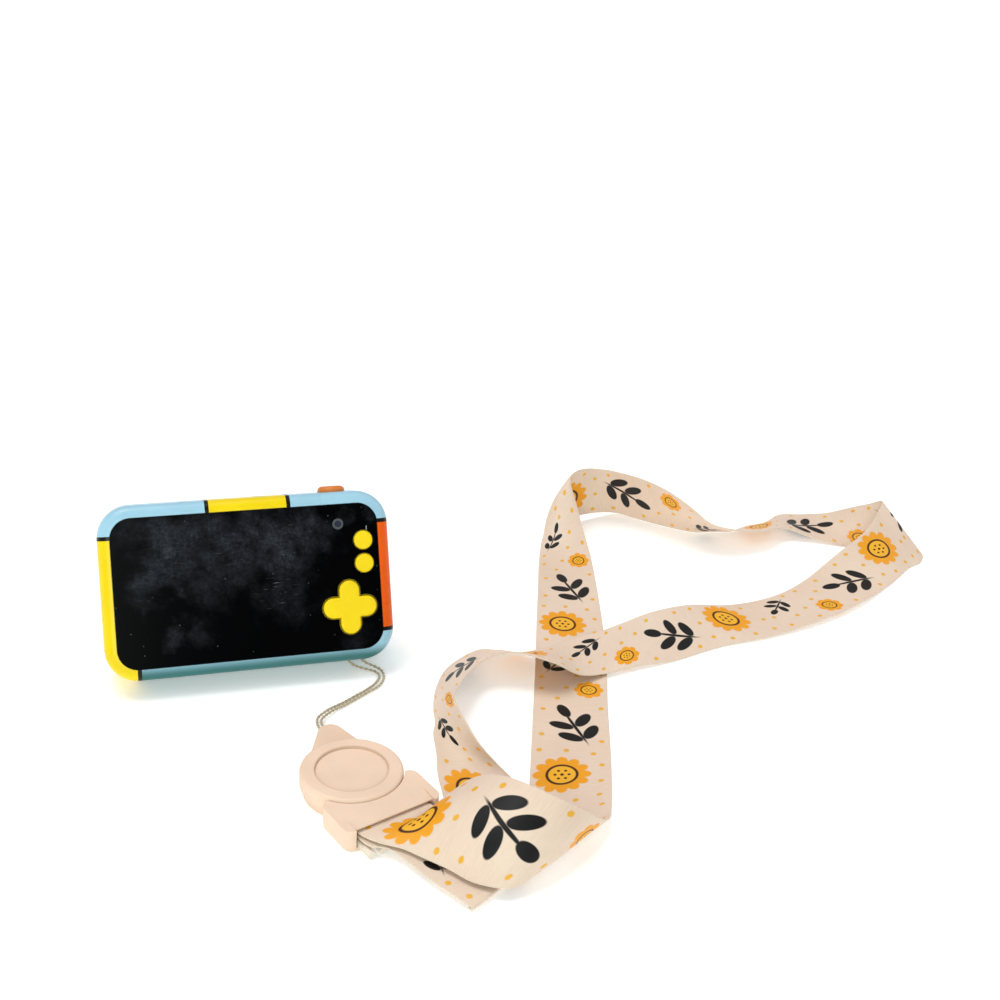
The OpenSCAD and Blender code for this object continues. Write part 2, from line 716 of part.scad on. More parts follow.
module dpad() color("#fdda04") leaning() translate([dpad_x, dpad_y, dpad_low_z]) difference() {
    union() {
        linear_extrude(flange_t) dpad_outline(dpad_flange);
        for (a = [0, 90]) rotate(a)
            soft_bar(dpad_span, dpad_arm, panel_top_z + button_proud - dpad_low_z, dpad_round);
    }
    translate([0, 0, panel_top_z + button_proud - dpad_low_z - dimple_deep])
        cylinder(r1 = dimple_r - dimple_deep, r2 = dimple_r + dimple_deep, h = 2*dimple_deep);
}

module dpad_pivot() color("#d0d2d4") leaning() translate([dpad_x, dpad_y, pivot_z - pivot_t/2])
    cylinder(r = pivot_r, h = pivot_t);

module keypad_membrane() color("#cfd6d8") leaning() translate([0, 0, board_top_z]) difference() {
    linear_extrude(membrane_t) difference() {
        union() {
            translate([dpad_x, dpad_y]) circle(membrane_r);
            translate([button_x - membrane_edge, dpad_y])
                square([2*membrane_edge - board_gap/2 + overrun,
                    upper_y - dpad_y + membrane_edge - boss_clear]);
        }
        at_screws() circle(boss_r + boss_clear);
        translate([strap_x - pocket_w/2 - pocket_wall - pocket_gap, -shell_h])
            square([pocket_w + 2*(pocket_wall + pocket_gap),
                shell_h/2 + pocket_deep + pocket_wall + pocket_gap]);
    }
    for (p = domes_at) translate([p.x, p.y, -overrun])
        cylinder(r = dome_r + dome_pocket_gap, h = dome_h + dome_pocket_rise + overrun);
}

module switch_domes() color("#d8dadc") leaning() for (p = domes_at) translate([p.x, p.y, board_top_z])
    cylinder(r1 = dome_r, r2 = dome_r*dome_top_share, h = dome_h);

// Top buttons and their switches

// Round button in the top wall: cap, flange under the wall
module top_button(x, d, proud, round) leaning() on_top(x) {
    translate([0, 0, top_flange_y]) cylinder(r = d/2 + top_flange_over, h = top_flange_t);
    translate([0, 0, top_flange_y + top_flange_t/2])
        soft_cap(d/2, shell_h/2 + proud - top_flange_y - top_flange_t/2, round);
}

module shutter_button() color("#e08a3c") top_button(shutter_x, shutter_d, shutter_proud, shutter_round);

module power_button() color("#5fae7a") top_button(power_x, power_d, 0, power_round);

// Push switch on the board's front face, its plunger just below the pressed button
module push_switch(x, travel) leaning() {
    top_y = top_flange_y - travel - plunger_gap - plunger_h;
    translate([x - switch_w/2, top_y - switch_deep, board_z - switch_h])
        cube([switch_w, switch_deep, switch_h]);
    on_top(x) translate([0, 0, top_y - plunger_h]) cylinder(r = plunger_r, h = 2*plunger_h);
}

module shutter_switch() color("#3b3d40") push_switch(shutter_x, shutter_travel);

module power_switch() color("#3b3d40") push_switch(power_x, power_travel);

// Lens barrel and front pieces

// Barrel wall with a rounded front rim and two grip grooves, a floor with the eye, and the spigot behind
module lens_ring() color("#a8d5e9") leaning() on_lens_axis() difference() {
    rotate_extrude() difference() {
        union() {
            intersection() {
                domed_section(lens_d, lens_proud, rim_r);
                square([lens_d, lens_proud]);
            }
            translate([0, -spigot_h]) square([spigot_r, spigot_h]);
        }
        translate([0, lens_floor]) square([lens_bore_d/2, lens_proud]);
        translate([0, -spigot_h - overrun]) square([eye_r, lens_proud]);
        for (h = groove_at) translate([lens_d/2 - groove_deep, h]) square([lens_d, groove_h]);
    }
}

// Black stepped funnel round the lens glass
module lens_baffle() color("#141416") leaning() on_lens_axis() {
    outer = lens_bore_d/2 - baffle_gap;
    inner = lens_glass_d/2 + glass_gap;
    rise = baffle_h/baffle_steps;
    step = (outer - inner)/baffle_steps;
    translate([0, 0, lens_floor]) rotate_extrude() for (i = [1:baffle_steps])
        translate([outer - step*i, 0]) square([step, baffle_h - rise*(i - 1)]);
}

module lens_glass() color("#3c4652") leaning() on_lens_axis() translate([0, 0, lens_floor])
    rotate_extrude() {
    crown_r = (lens_glass_d*lens_glass_d/4 + glass_crown*glass_crown)/(2*glass_crown);
    square([lens_glass_d/2, glass_edge]);
    translate([0, glass_edge]) intersection() {
        translate([0, glass_crown - crown_r]) circle(crown_r, $fn = glass_facets);
        square([lens_glass_d/2, glass_crown]);
    }
}

module camera_module() color("#2a2a2e") leaning() on_lens_axis() {
    translate([0, 0, -spigot_h - module_h]) linear_extrude(module_h) square(module_w, center = true);
    translate([0, 0, -spigot_h - module_h/2])
        cylinder(r = eye_r - barrel_gap, h = spigot_h + module_h/2 + lens_floor - barrel_gap);
}

module flash_lens() color("#f4f2e4") leaning() translate([flash_x, flash_y, 0]) {
    translate([0, 0, -flash_proud]) cylinder(r = flash_r, h = wall + flash_proud + flash_flange_t);
    translate([0, 0, wall]) cylinder(r = flash_r + flash_flange, h = flash_flange_t);
}

module flash_led() color("#f6e7a0") leaning() translate([flash_x, flash_y, wall + flash_flange_t])
    linear_extrude(led_t) square(led_w, center = true);

module battery() color("#6f7780") leaning()
    translate([battery_inset + battery_w/2 - shell_w/2, 0, wall])
        slab(battery_w, battery_h, battery_t, battery_round, battery_edge);

module speaker() color("#2e2e30") leaning() translate([speaker_x, speaker_y, wall]) difference() {
    cylinder(r = speaker_r, h = speaker_h);
    translate([0, 0, -overrun]) cylinder(r = speaker_cone_r, h = speaker_cone_deep + overrun);
}

module microphone() color("#b4b7ba") leaning() translate([mic_x, mic_y, wall])
    cylinder(r = mic_r, h = mic_h);

// Sockets on the board's front face, open through the left side

module usb_port() color("#c4c7cb") leaning() translate([socket_inset - shell_w/2, usb_y, board_z - usb_h]) {
    difference() {
        translate([0, -usb_w/2, 0]) cube([usb_deep, usb_w, usb_h]);
        translate([-usb_wall, usb_wall - usb_w/2, usb_wall])
            cube([usb_deep, usb_w - 2*usb_wall, usb_h - 2*usb_wall]);
    }
    translate([usb_wall, -usb_tongue_w/2, (usb_h - usb_tongue_t)/2])
        cube([usb_deep - usb_wall, usb_tongue_w, usb_tongue_t]);
}

module card_slot() color("#b9bcc0") leaning()
    translate([socket_inset - shell_w/2, card_y, board_z - card_h])
    difference() {
        translate([0, -card_w/2, 0]) cube([card_deep, card_w, card_h]);
        translate([-card_wall, card_wall - card_w/2, card_wall])
            cube([card_deep, card_w - 2*card_wall, card_h - 2*card_wall]);
    }

// Lanyard

module lanyard_cord() color("#f2e6d2") tube(smooth_route(cord_route, cord_steps), cord_d, cord_sides);

// Lower half of the clip: a disc that runs out into the cord's neck, with the channel for the tongue
module clip_base() color("#f5d7bf") on_clip() difference() {
    linear_extrude(base_t) hull() {
        circle(clip_d/2 - base_inset);
        rotate(neck_turn) translate([-neck_reach, 0]) circle(neck_tip_r);
    }
    translate([channel_start, -channel_w/2, channel_floor]) cube([clip_d, channel_w, base_t]);
}

// Round top of the clip: a rim with a rounded edge about a shallow dish
module clip_disc() color("#f5d7bf") on_clip() translate([0, 0, base_t]) difference() {
    soft_cap(clip_d/2, disc_t + disc_rim_h, disc_round);
    translate([0, 0, disc_t]) cylinder(r = clip_d/2 - disc_rim_w, h = disc_t);
}

// Sliding half of the clip: a block hollowed round the disc, a sloped roof over the ribbon and a tongue
module clip_buckle() color("#f5d7bf") on_clip() {
    difference() {
        translate([(buckle_start + buckle_end)/2, 0, 0]) linear_extrude(buckle_h)
            round_rect(buckle_end - buckle_start, buckle_w, buckle_round);
        translate([0, 0, -overrun]) cylinder(r = clip_d/2 + buckle_gap, h = clip_d);
        rotate([90, 0, 0]) linear_extrude(jaw_w, center = true) polygon([
            [ribbon_slot_start, ribbon_slot_low], [buckle_front, ribbon_slot_low],
            [buckle_front, lip_t], [clip_d, lip_t], [clip_d, buckle_h + overrun],
            [roof_start - overrun/roof_fall_share, buckle_h + overrun],
            [roof_end, roof_end_h], [roof_end, ribbon_slot_high], [ribbon_slot_start, ribbon_slot_high]]);
    }
    translate([tongue_start, -tongue_w/2, tongue_low])
        cube([tongue_end - tongue_start, tongue_w, tongue_t]);
}

// Toothed strip in the jaw, under the ribbon
module ribbon_clamp() color("#fdf3e6") on_clip() {
    pitch = (clamp_w - 2*tooth_r)/(clamp_teeth - 1);
    top_z = lip_t + clamp_t;
    translate([clamp_start, -clamp_w/2, lip_t])
        cube([clamp_end - clamp_start - tooth_len, clamp_w, clamp_t]);
    for (k = [0:clamp_teeth - 1])
        translate([clamp_end - tooth_len - tooth_r, tooth_r - clamp_w/2 + k*pitch, top_z - tooth_r])
            rotate([0, 90, 0]) cylinder(r = tooth_r, h = tooth_len + tooth_r);
}

module ribbon() color("#f2e2cd") band(ribbon_route, ribbon_t);

front_shell();
rear_shell();
rear_panel();
panel_gasket();
lcd_module();
main_board();
battery();
speaker();
microphone();
camera_module();
lens_ring();
lens_baffle();
lens_glass();
flash_lens();
flash_led();
rear_camera();
rear_lens_ring();
rear_lens_glass();
shutter_button();
shutter_switch();
power_button();
power_switch();
button_upper();
button_lower();
dpad();
dpad_pivot();
keypad_membrane();
switch_domes();
usb_port();
card_slot();
strap_pin();
shell_screws();
board_screws();
lanyard_cord();
clip_base();
clip_disc();
clip_buckle();
ribbon_clamp();
ribbon();
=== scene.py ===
# %% [markdown]
# A toy digital camera seen from its back, leaning on its lens barrel, with its neck lanyard laid out beside
# it: a thin cord loop, a round plastic clip and a long printed ribbon.
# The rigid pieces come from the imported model. This lesson dresses them in printed plastic, acrylic and satin,
# and builds the two soft pieces, the cord and the ribbon, as what they are.

import json
import math

import bmesh
import bpy
import numpy as np
from mathutils import Matrix, Vector

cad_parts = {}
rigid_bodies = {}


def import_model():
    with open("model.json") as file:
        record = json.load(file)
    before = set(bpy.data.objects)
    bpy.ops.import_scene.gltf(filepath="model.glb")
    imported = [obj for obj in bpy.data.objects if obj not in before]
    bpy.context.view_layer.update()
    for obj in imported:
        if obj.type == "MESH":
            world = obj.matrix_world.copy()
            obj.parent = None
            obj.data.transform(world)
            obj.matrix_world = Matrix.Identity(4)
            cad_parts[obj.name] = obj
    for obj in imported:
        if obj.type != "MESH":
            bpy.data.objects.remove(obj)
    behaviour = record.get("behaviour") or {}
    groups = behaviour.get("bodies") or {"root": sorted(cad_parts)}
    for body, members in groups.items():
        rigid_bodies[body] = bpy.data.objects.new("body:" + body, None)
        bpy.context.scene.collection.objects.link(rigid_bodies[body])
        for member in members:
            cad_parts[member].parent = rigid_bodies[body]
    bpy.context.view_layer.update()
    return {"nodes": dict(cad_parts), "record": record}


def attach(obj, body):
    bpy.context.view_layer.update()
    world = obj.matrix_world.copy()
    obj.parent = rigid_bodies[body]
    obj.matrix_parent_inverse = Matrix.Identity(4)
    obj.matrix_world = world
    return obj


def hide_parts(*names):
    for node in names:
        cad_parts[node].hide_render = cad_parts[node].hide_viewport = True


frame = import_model()
nodes = frame["nodes"]
body_of = {n: body for body, members in frame["record"]["behaviour"]["bodies"].items() for n in members}
MM = 0.001

# %% [markdown]
# The photograph looks down at the toy from its front left. The view was worked out from the body's own
# corners, so the camera gets its place and its three axes directly instead of a target to track.

# %% Camera
VIEW_AT = (-43.3, -431.7, 270.4)
VIEW_RIGHT = (0.9614, -0.269, 0.0577)
VIEW_UP = (0.0669, 0.4319, 0.8994)
VIEW_AXIS = (0.2669, 0.8608, -0.4333)
FOCAL_LENGTH, SENSOR_WIDTH, NEAR_CLIP = 50.4, 36, 0.01


def in_scene(name, data):
    """A new object that holds a mesh, a lamp or a camera, linked into the scene."""
    made = bpy.data.objects.new(name, data)
    bpy.context.scene.collection.objects.link(made)
    return made


lens = bpy.data.cameras.new("photo_view")
lens.lens = FOCAL_LENGTH
lens.sensor_width = SENSOR_WIDTH
lens.clip_start = NEAR_CLIP
view = in_scene("photo_view", lens)
columns = [Vector(VIEW_RIGHT), Vector(VIEW_UP), -Vector(VIEW_AXIS)]
turn = Matrix([[col[row] for col in columns] for row in range(3)]).to_4x4()
view.matrix_world = Matrix.Translation(Vector(VIEW_AT) * MM) @ turn
bpy.context.scene.camera = view
# The photograph is a plain bright one, so colours go to the picture without a film curve
bpy.context.scene.view_settings.view_transform = "Standard"
print("camera at", [round(v, 4) for v in view.location])

# %% [markdown]
# Every finish below is a small tree of shader nodes. One function adds a node, sets it up and wires it, so a
# tree reads as a list of steps. Inputs are given by name, or by number where names repeat: a Map Range node
# takes its value at 0, the range that it comes from at 1 and 2 and the range that it goes to at 3 and 4.
# A Mix node takes the share at 0 and the two colours at 6 and 7, and gives the mixed colour at its output 2.
# Colours are written as the sRGB hex values that an artist would pick.

# %% Helpers for finishes
def linear(code):
    """sRGB hex to the linear RGBA that shaders use."""
    raw = [int(code[i:i + 2], 16) / 255 for i in (1, 3, 5)]
    return tuple(v / 12.92 if v <= 0.04045 else ((v + 0.055) / 1.055) ** 2.4 for v in raw) + (1.0,)


def add(tree, kind, wires=None, **settings):
    """Adds one node: settings are its properties, wires its inputs, each a value or another node's output."""
    made = tree.nodes.new(kind)
    for key, value in settings.items():
        setattr(made, key, value)
    for key, value in (wires or {}).items():
        if isinstance(value, bpy.types.NodeSocket):
            tree.links.new(value, made.inputs[key])
        else:
            made.inputs[key].default_value = value
    return made


def new_finish(name, **sockets):
    """A material with one Principled shader, whose even values are set on its own sockets."""
    finish = bpy.data.materials.new(name)
    finish.use_nodes = True
    tree = finish.node_tree
    tree.nodes.clear()
    shader = add(tree, "ShaderNodeBsdfPrincipled", {k.replace("_", " "): v for k, v in sockets.items()})
    add(tree, "ShaderNodeOutputMaterial", {"Surface": shader.outputs[0]})
    return finish, tree, shader


FINISHES = {}
# How far a bump stands out where its height is 1
SKIN_DEEP = 0.2 * MM

# %% [markdown]
# The body is glossy ABS with its colours printed in blocks: light blue, a yellow block on the top and round
# the left side, an orange one on the right, parted by black lines. On the real toy each line runs straight
# across the side walls, so the blocks are drawn on the camera's own x and y. A Mapping node in texture mode
# undoes the lean and turns metres into millimetres, and Compare nodes cut out the blocks.

# %% The camera's own frame inside a material
LEAN = math.radians(65.63479)
BODY_AT = (0.0, 0.0057370, 0.0255786)


def own_frame(tree):
    """A place in the camera's own frame, in millimetres: the vector, and then its x, y and z."""
    place = add(tree, "ShaderNodeTexCoord").outputs["Object"]
    own = add(tree, "ShaderNodeMapping", {"Vector": place, "Location": BODY_AT, "Rotation": (LEAN, 0, 0),
                                          "Scale": (MM, MM, MM)}, vector_type="TEXTURE").outputs[0]
    return own, add(tree, "ShaderNodeSeparateXYZ", {0: own}).outputs


print("the camera leans", round(math.degrees(LEAN), 1), "degrees from flat")

# %% Printed ABS of the body: blocks, lines and painted shade at the bottom
# The teal is not a printed colour: it is painted shade for the underside
SKY, SHADE_TEAL, SUN, CLAY, INK = "#a4cfe4", "#2f6a6a", "#f5d504", "#f35f08", "#060606"
LINE_HALF = 0.68
# Past these values of x and y, or of their sum at the lower left corner, the surface is a side
RIM_X, RIM_Y, RIM_SUM = 43.0, 23.6, -61.5
# Where the painted shade of the bottom edge begins and where it is full
SHADE_FROM, SHADE_TO = -23.2, -28.2

finish, tree, shader = new_finish("printed_glossy_abs", IOR=1.53, Specular_IOR_Level=0.22, Coat_Weight=0.06,
                                  Coat_Roughness=0.12)
own, (x, y, _) = own_frame(tree)
corner_sum = add(tree, "ShaderNodeMath", {0: x, 1: y}, operation="ADD").outputs[0]
ends = {}
for side, value, limit, test in (
    ("top", y, RIM_Y, "GREATER_THAN"), ("bottom", y, -RIM_Y, "LESS_THAN"), ("left", x, -RIM_X, "LESS_THAN"),
    ("right", x, RIM_X, "GREATER_THAN"), ("corner", corner_sum, RIM_SUM, "LESS_THAN"),
):
    ends[side] = add(tree, "ShaderNodeMath", {0: value, 1: limit}, operation=test).outputs[0]
# side, the coordinate that runs along it, the middle and half length of the block or line, its colour
blocks = [("top", x, 1.0, 13.7, SUN), ("left", y, -20.0, 39.0, SUN), ("bottom", x, -58.0, 20.0, SUN),
          ("corner", x, -58.0, 20.0, SUN), ("right", y, -0.15, 18.95, CLAY)]
lines = [(side, along, middle, LINE_HALF, INK) for side, along, middle in (
    ("top", x, -12.7), ("top", x, 14.7), ("left", y, 19.0), ("bottom", x, -38.0), ("right", y, 18.8),
    ("right", y, -19.1))]
# Painted shade: the blue darkens to teal towards the bottom edge, where the underside turns away from the light
bottom_shade = add(tree, "ShaderNodeMapRange", {0: y, 1: SHADE_FROM, 2: SHADE_TO, 3: 0.0, 4: 1.0},
           interpolation_type="SMOOTHSTEP").outputs[0]
print_and_shade = add(tree, "ShaderNodeMix", {0: bottom_shade, 6: linear(SKY), 7: linear(SHADE_TEAL)}, data_type="RGBA").outputs[2]
for side, along, middle, half, code in blocks + lines:
    span = add(tree, "ShaderNodeMath", {0: along, 1: middle, 2: half}, operation="COMPARE").outputs[0]
    where = add(tree, "ShaderNodeMath", {0: span, 1: ends[side]}, operation="MULTIPLY").outputs[0]
    print_and_shade = add(tree, "ShaderNodeMix", {0: where, 6: print_and_shade, 7: linear(code)}, data_type="RGBA").outputs[2]
print("printed body:", len(blocks), "blocks and", len(lines), "lines")

# %% Printed ABS of the body: wear and skin
# Handling dulls the print a little in patches some 15 mm across
patches = add(tree, "ShaderNodeTexNoise", {"Vector": own, "Scale": 0.065, "Detail": 3.0}).outputs[0]
dull = add(tree, "ShaderNodeMapRange", {0: patches, 1: 0.35, 2: 0.7, 3: 0.95, 4: 1.03}).outputs[0]
worn = add(tree, "ShaderNodeVectorMath", {0: print_and_shade, "Scale": dull}, operation="SCALE").outputs[0]
tree.links.new(worn, shader.inputs["Base Color"])
gloss = add(tree, "ShaderNodeMapRange", {0: patches, 1: 0.3, 2: 0.7, 3: 0.24, 4: 0.36}).outputs[0]
tree.links.new(gloss, shader.inputs["Roughness"])
# The moulded skin has a faint orange peel, about 1.2 mm from crest to crest
peel = add(tree, "ShaderNodeTexNoise", {"Vector": own, "Scale": 0.8, "Detail": 1.0}).outputs[0]
skin = add(tree, "ShaderNodeBump", {"Height": peel, "Strength": 0.03, "Distance": SKIN_DEEP}).outputs[0]
tree.links.new(skin, shader.inputs["Normal"])
FINISHES["printed_body"] = finish
print("printed body:", len(tree.nodes), "nodes")

# %% [markdown]
# The back is one sheet of polished black acrylic over the display. In the photograph it is almost black, with
# greyish clouds where fingers and dust have hazed it, a few fine scratches near the middle and bright specks.
# The haze lies on the surface, so it is drawn as a paler, rougher layer: soft spots broken up by noise. The
# sheet's edge gets a painted highlight: faces that turn away from the sheet's own normal are painted paler, as
# a polished edge looks where it catches the light. A slit of reflected light above the upper button is a
# painted highlight too.

# %% Hazed acrylic of the back panel: the haze
# middle x and y, reach and strength of each hazy cloud, in millimetres
CLOUDS = [
    (-25.0, 13.0, 15.0, 0.34), (-31.0, 6.0, 12.0, 0.3), (-14.0, 18.5, 13.0, 0.24), (-5.0, 12.0, 16.0, 0.24),
    (10.5, 12.0, 18.0, 0.3), (21.0, 18.5, 13.0, 0.22), (-14.0, 5.0, 16.0, 0.16), (2.0, 19.0, 13.0, 0.26),
    (-19.0, -12.7, 8.0, 0.1), (-26.0, -18.5, 5.0, 0.14), (41.0, 20.5, 7.0, 0.18), (14.0, -3.0, 15.0, 0.12),
    (36.0, -20.0, 9.0, 0.08), (-36.0, 18.0, 9.0, 0.12)]
PUSH = (34, 34, 0)

finish, tree, shader = new_finish("polished_black_acrylic", IOR=1.49, Specular_IOR_Level=0.03)
_, (x, y, _) = own_frame(tree)
flat = add(tree, "ShaderNodeCombineXYZ", {0: x, 1: y}).outputs[0]
grain = add(tree, "ShaderNodeTexNoise", {"Vector": flat, "Scale": 0.16, "Detail": 9.0,
                                         "Roughness": 0.82}).outputs[0]
# A slow noise, some 14 mm across, pushes the spots out of round
push = add(tree, "ShaderNodeTexNoise", {"Vector": flat, "Scale": 0.07, "Detail": 4.0,
                                        "Roughness": 0.6}).outputs[1]
push = add(tree, "ShaderNodeVectorMath", {0: push, 1: (0.5, 0.5, 0.5)}, operation="SUBTRACT").outputs[0]
push = add(tree, "ShaderNodeVectorMath", {0: push, 1: PUSH, 2: flat}, operation="MULTIPLY_ADD").outputs[0]
haze = None
for cx, cy, reach, strength in CLOUDS:
    apart = add(tree, "ShaderNodeVectorMath", {0: push, 1: (cx, cy, 0)}, operation="DISTANCE")
    spot = add(tree, "ShaderNodeMapRange", {0: apart.outputs["Value"], 1: 0.0, 2: reach, 3: strength, 4: 0.0},
               interpolation_type="SMOOTHSTEP").outputs[0]
    if haze is None:
        haze = spot
    else:
        haze = add(tree, "ShaderNodeMath", {0: haze, 1: spot}, operation="MAXIMUM").outputs[0]
broken = add(tree, "ShaderNodeMapRange", {0: grain, 1: 0.36, 2: 0.75, 3: 0.04, 4: 1.2}).outputs[0]
haze = add(tree, "ShaderNodeMath", {0: haze, 1: broken}, operation="MULTIPLY").outputs[0]
# A fine speckle, 1 mm apart, keeps the haze from looking like smoke
speckle = add(tree, "ShaderNodeTexNoise", {"Vector": flat, "Scale": 1.0, "Detail": 4.0,
                                           "Roughness": 0.7}).outputs[0]
speckle = add(tree, "ShaderNodeMapRange", {0: speckle, 1: 0.32, 2: 0.7, 3: 0.6, 4: 1.4}).outputs[0]
haze = add(tree, "ShaderNodeMath", {0: haze, 1: speckle}, operation="MULTIPLY").outputs[0]
print("back panel:", len(CLOUDS), "clouds of haze")

# %% Hazed acrylic of the back panel: dust, scratches and a painted highlight
# middle x and y, reach in millimetres, slant in degrees and strength of each group of scratches
SCRATCHES = [(9.0, -2.5, 9.0, -6, 0.22), (-6.0, 11.0, 9.0, -32, 0.09), (-27.0, 10.0, 10.0, -52, 0.1),
             (13.0, 17.0, 11.0, -66, 0.08)]
# A painted highlight: place, half sizes and brightness of a slit of reflected light
SLIT_AT, SLIT_HALF, PAINTED_GLINT_BRIGHT = (41.0, 16.5), (0.16, 0.7), 0.7

# Dust: tiny dots on a 4 mm spread, one in eight of them pale enough to see
cells = add(tree, "ShaderNodeTexVoronoi", {"Vector": flat, "Scale": 0.25}, voronoi_dimensions="2D")
dot = add(tree, "ShaderNodeMapRange", {0: cells.outputs["Distance"], 1: 0.02, 2: 0.07, 3: 1.0,
                                       4: 0.0}).outputs[0]
rare = add(tree, "ShaderNodeSeparateColor", {0: cells.outputs["Color"]}).outputs[0]
rare = add(tree, "ShaderNodeMapRange", {0: rare, 1: 0.87, 2: 1.0, 3: 0.0, 4: 0.2}).outputs[0]
marks = add(tree, "ShaderNodeMath", {0: dot, 1: rare}, operation="MULTIPLY").outputs[0]
# Scratches: stretched noise, kept to one spot right of the middle and fainter ones above it
for cx, cy, reach, slant, strength in SCRATCHES:
    turned = add(tree, "ShaderNodeMapping", {"Vector": flat, "Rotation": (0, 0, math.radians(slant)),
                                             "Scale": (0.16, 1.9, 1.0)}).outputs[0]
    streak = add(tree, "ShaderNodeTexNoise", {"Vector": turned, "Scale": 1.0, "Detail": 4.0}).outputs[0]
    streak = add(tree, "ShaderNodeMapRange", {0: streak, 1: 0.62, 2: 0.72, 3: 0.0, 4: strength}).outputs[0]
    apart = add(tree, "ShaderNodeVectorMath", {0: flat, 1: (cx, cy, 0)}, operation="DISTANCE")
    near = add(tree, "ShaderNodeMapRange", {0: apart.outputs["Value"], 1: 3.0, 2: reach, 3: 1.0,
                                            4: 0.0}).outputs[0]
    streak = add(tree, "ShaderNodeMath", {0: streak, 1: near}, operation="MULTIPLY").outputs[0]
    marks = add(tree, "ShaderNodeMath", {0: marks, 1: streak}, operation="MAXIMUM").outputs[0]
# A painted highlight: a slit of reflected light above the upper button
slit_x, slit_y = [add(tree, "ShaderNodeMath", {0: value, 1: SLIT_AT[k], 2: SLIT_HALF[k]},
                      operation="COMPARE").outputs[0] for k, value in enumerate((x, y))]
painted_glint = add(tree, "ShaderNodeMath", {0: slit_x, 1: slit_y}, operation="MULTIPLY").outputs[0]
painted_glint = add(tree, "ShaderNodeMath", {0: painted_glint, 1: PAINTED_GLINT_BRIGHT}, operation="MULTIPLY").outputs[0]
marks = add(tree, "ShaderNodeMath", {0: marks, 1: painted_glint}, operation="MAXIMUM").outputs[0]
print("back panel:", len(SCRATCHES), "groups of scratches")

# %% Hazed acrylic of the back panel: coat and painted edge highlight
JET, HAZE_GREY, MARK_AND_GLINT_GREY, EDGE_GLINT_GREY = "#020203", "#686b78", "#b9bcc2", "#8d9499"
OUT_OF_BACK = (0, -math.sin(LEAN), math.cos(LEAN))

coat = add(tree, "ShaderNodeMix", {0: haze, 6: linear(JET), 7: linear(HAZE_GREY)},
           data_type="RGBA").outputs[2]
coat = add(tree, "ShaderNodeMix", {0: marks, 6: coat, 7: linear(MARK_AND_GLINT_GREY)}, data_type="RGBA").outputs[2]
# Painted highlight on the sheet's edge: faces that turn away from the back are painted paler
normal = add(tree, "ShaderNodeNewGeometry").outputs["Normal"]
facing = add(tree, "ShaderNodeVectorMath", {0: normal, 1: OUT_OF_BACK}, operation="DOT_PRODUCT")
painted_edge_glint = add(tree, "ShaderNodeMapRange", {0: facing.outputs["Value"], 1: 0.97, 2: 0.75, 3: 0.0,
                                       4: 0.45}).outputs[0]
coat = add(tree, "ShaderNodeMix", {0: painted_edge_glint, 6: coat, 7: linear(EDGE_GLINT_GREY)}, data_type="RGBA").outputs[2]
tree.links.new(coat, shader.inputs["Base Color"])
rough = add(tree, "ShaderNodeMapRange", {0: haze, 1: 0.0, 2: 0.5, 3: 0.16, 4: 0.5}).outputs[0]
tree.links.new(rough, shader.inputs["Roughness"])
FINISHES["black_panel"] = finish
print("back panel:", len(tree.nodes), "nodes")

# %% [markdown]
# The keys and the clip are moulded plastic of one colour. Moulded parts are never quite even: the skin has a
# fine spark-eroded texture, and the colour drifts a little. One loop makes them from a short table.

# %% One-colour moulded plastics
DRIFT = 14 * MM
CLIP_AT = (22.0 * MM, -85.6 * MM, 0.0)
DISH_R = 11.3 * MM
# Reach and darkness of a ring of painted shade in the corner of the disc's dish
GROOVE_SHADE_NEAR, GROOVE_SHADE_FAR, GROOVE_SHADE_DARK = 0.15 * MM, 0.55 * MM, 0.82
# slot: name, colour, roughness, texture spacing in mm, texture strength, subsurface weight
MOULDED = {
    "yellow_keys": ("moulded_satin_keys", "#ffdb03", 0.42, 0.5, 0.05, 0.0),
    "orange_key": ("moulded_shutter_key", "#e0803a", 0.38, 0.5, 0.05, 0.0),
    "green_key": ("moulded_power_key", "#9dc04a", 0.4, 0.5, 0.05, 0.0),
    "clip_plastic": ("moulded_satin_clip", "#efd0b9", 0.4, 0.7, 0.06, 0.1),
    "white_fittings": ("moulded_milky_nylon", "#e9dccb", 0.45, 0.7, 0.05, 0.1),
    "grey_ring": ("moulded_grey_ring", "#4d4f53", 0.35, 0.4, 0.04, 0.0),
    "dark_fittings": ("moulded_dark_nylon", "#2c2c2f", 0.5, 0.6, 0.1, 0.0),
    "black_baffle": ("moulded_matt_black", "#121214", 0.62, 0.6, 0.12, 0.0),
    "gasket_foam": ("adhesive_foam", "#37373a", 0.9, 0.5, 0.3, 0.0),
    "silicone": ("moulded_silicone", "#cdd5d8", 0.55, 0.8, 0.08, 0.1),
    "cell_wrap": ("foil_pouch", "#747c86", 0.35, 2.4, 0.2, 0.0),
    "flash_led": ("phosphor_resin", "#f4e294", 0.4, 0.5, 0.05, 0.0),
}
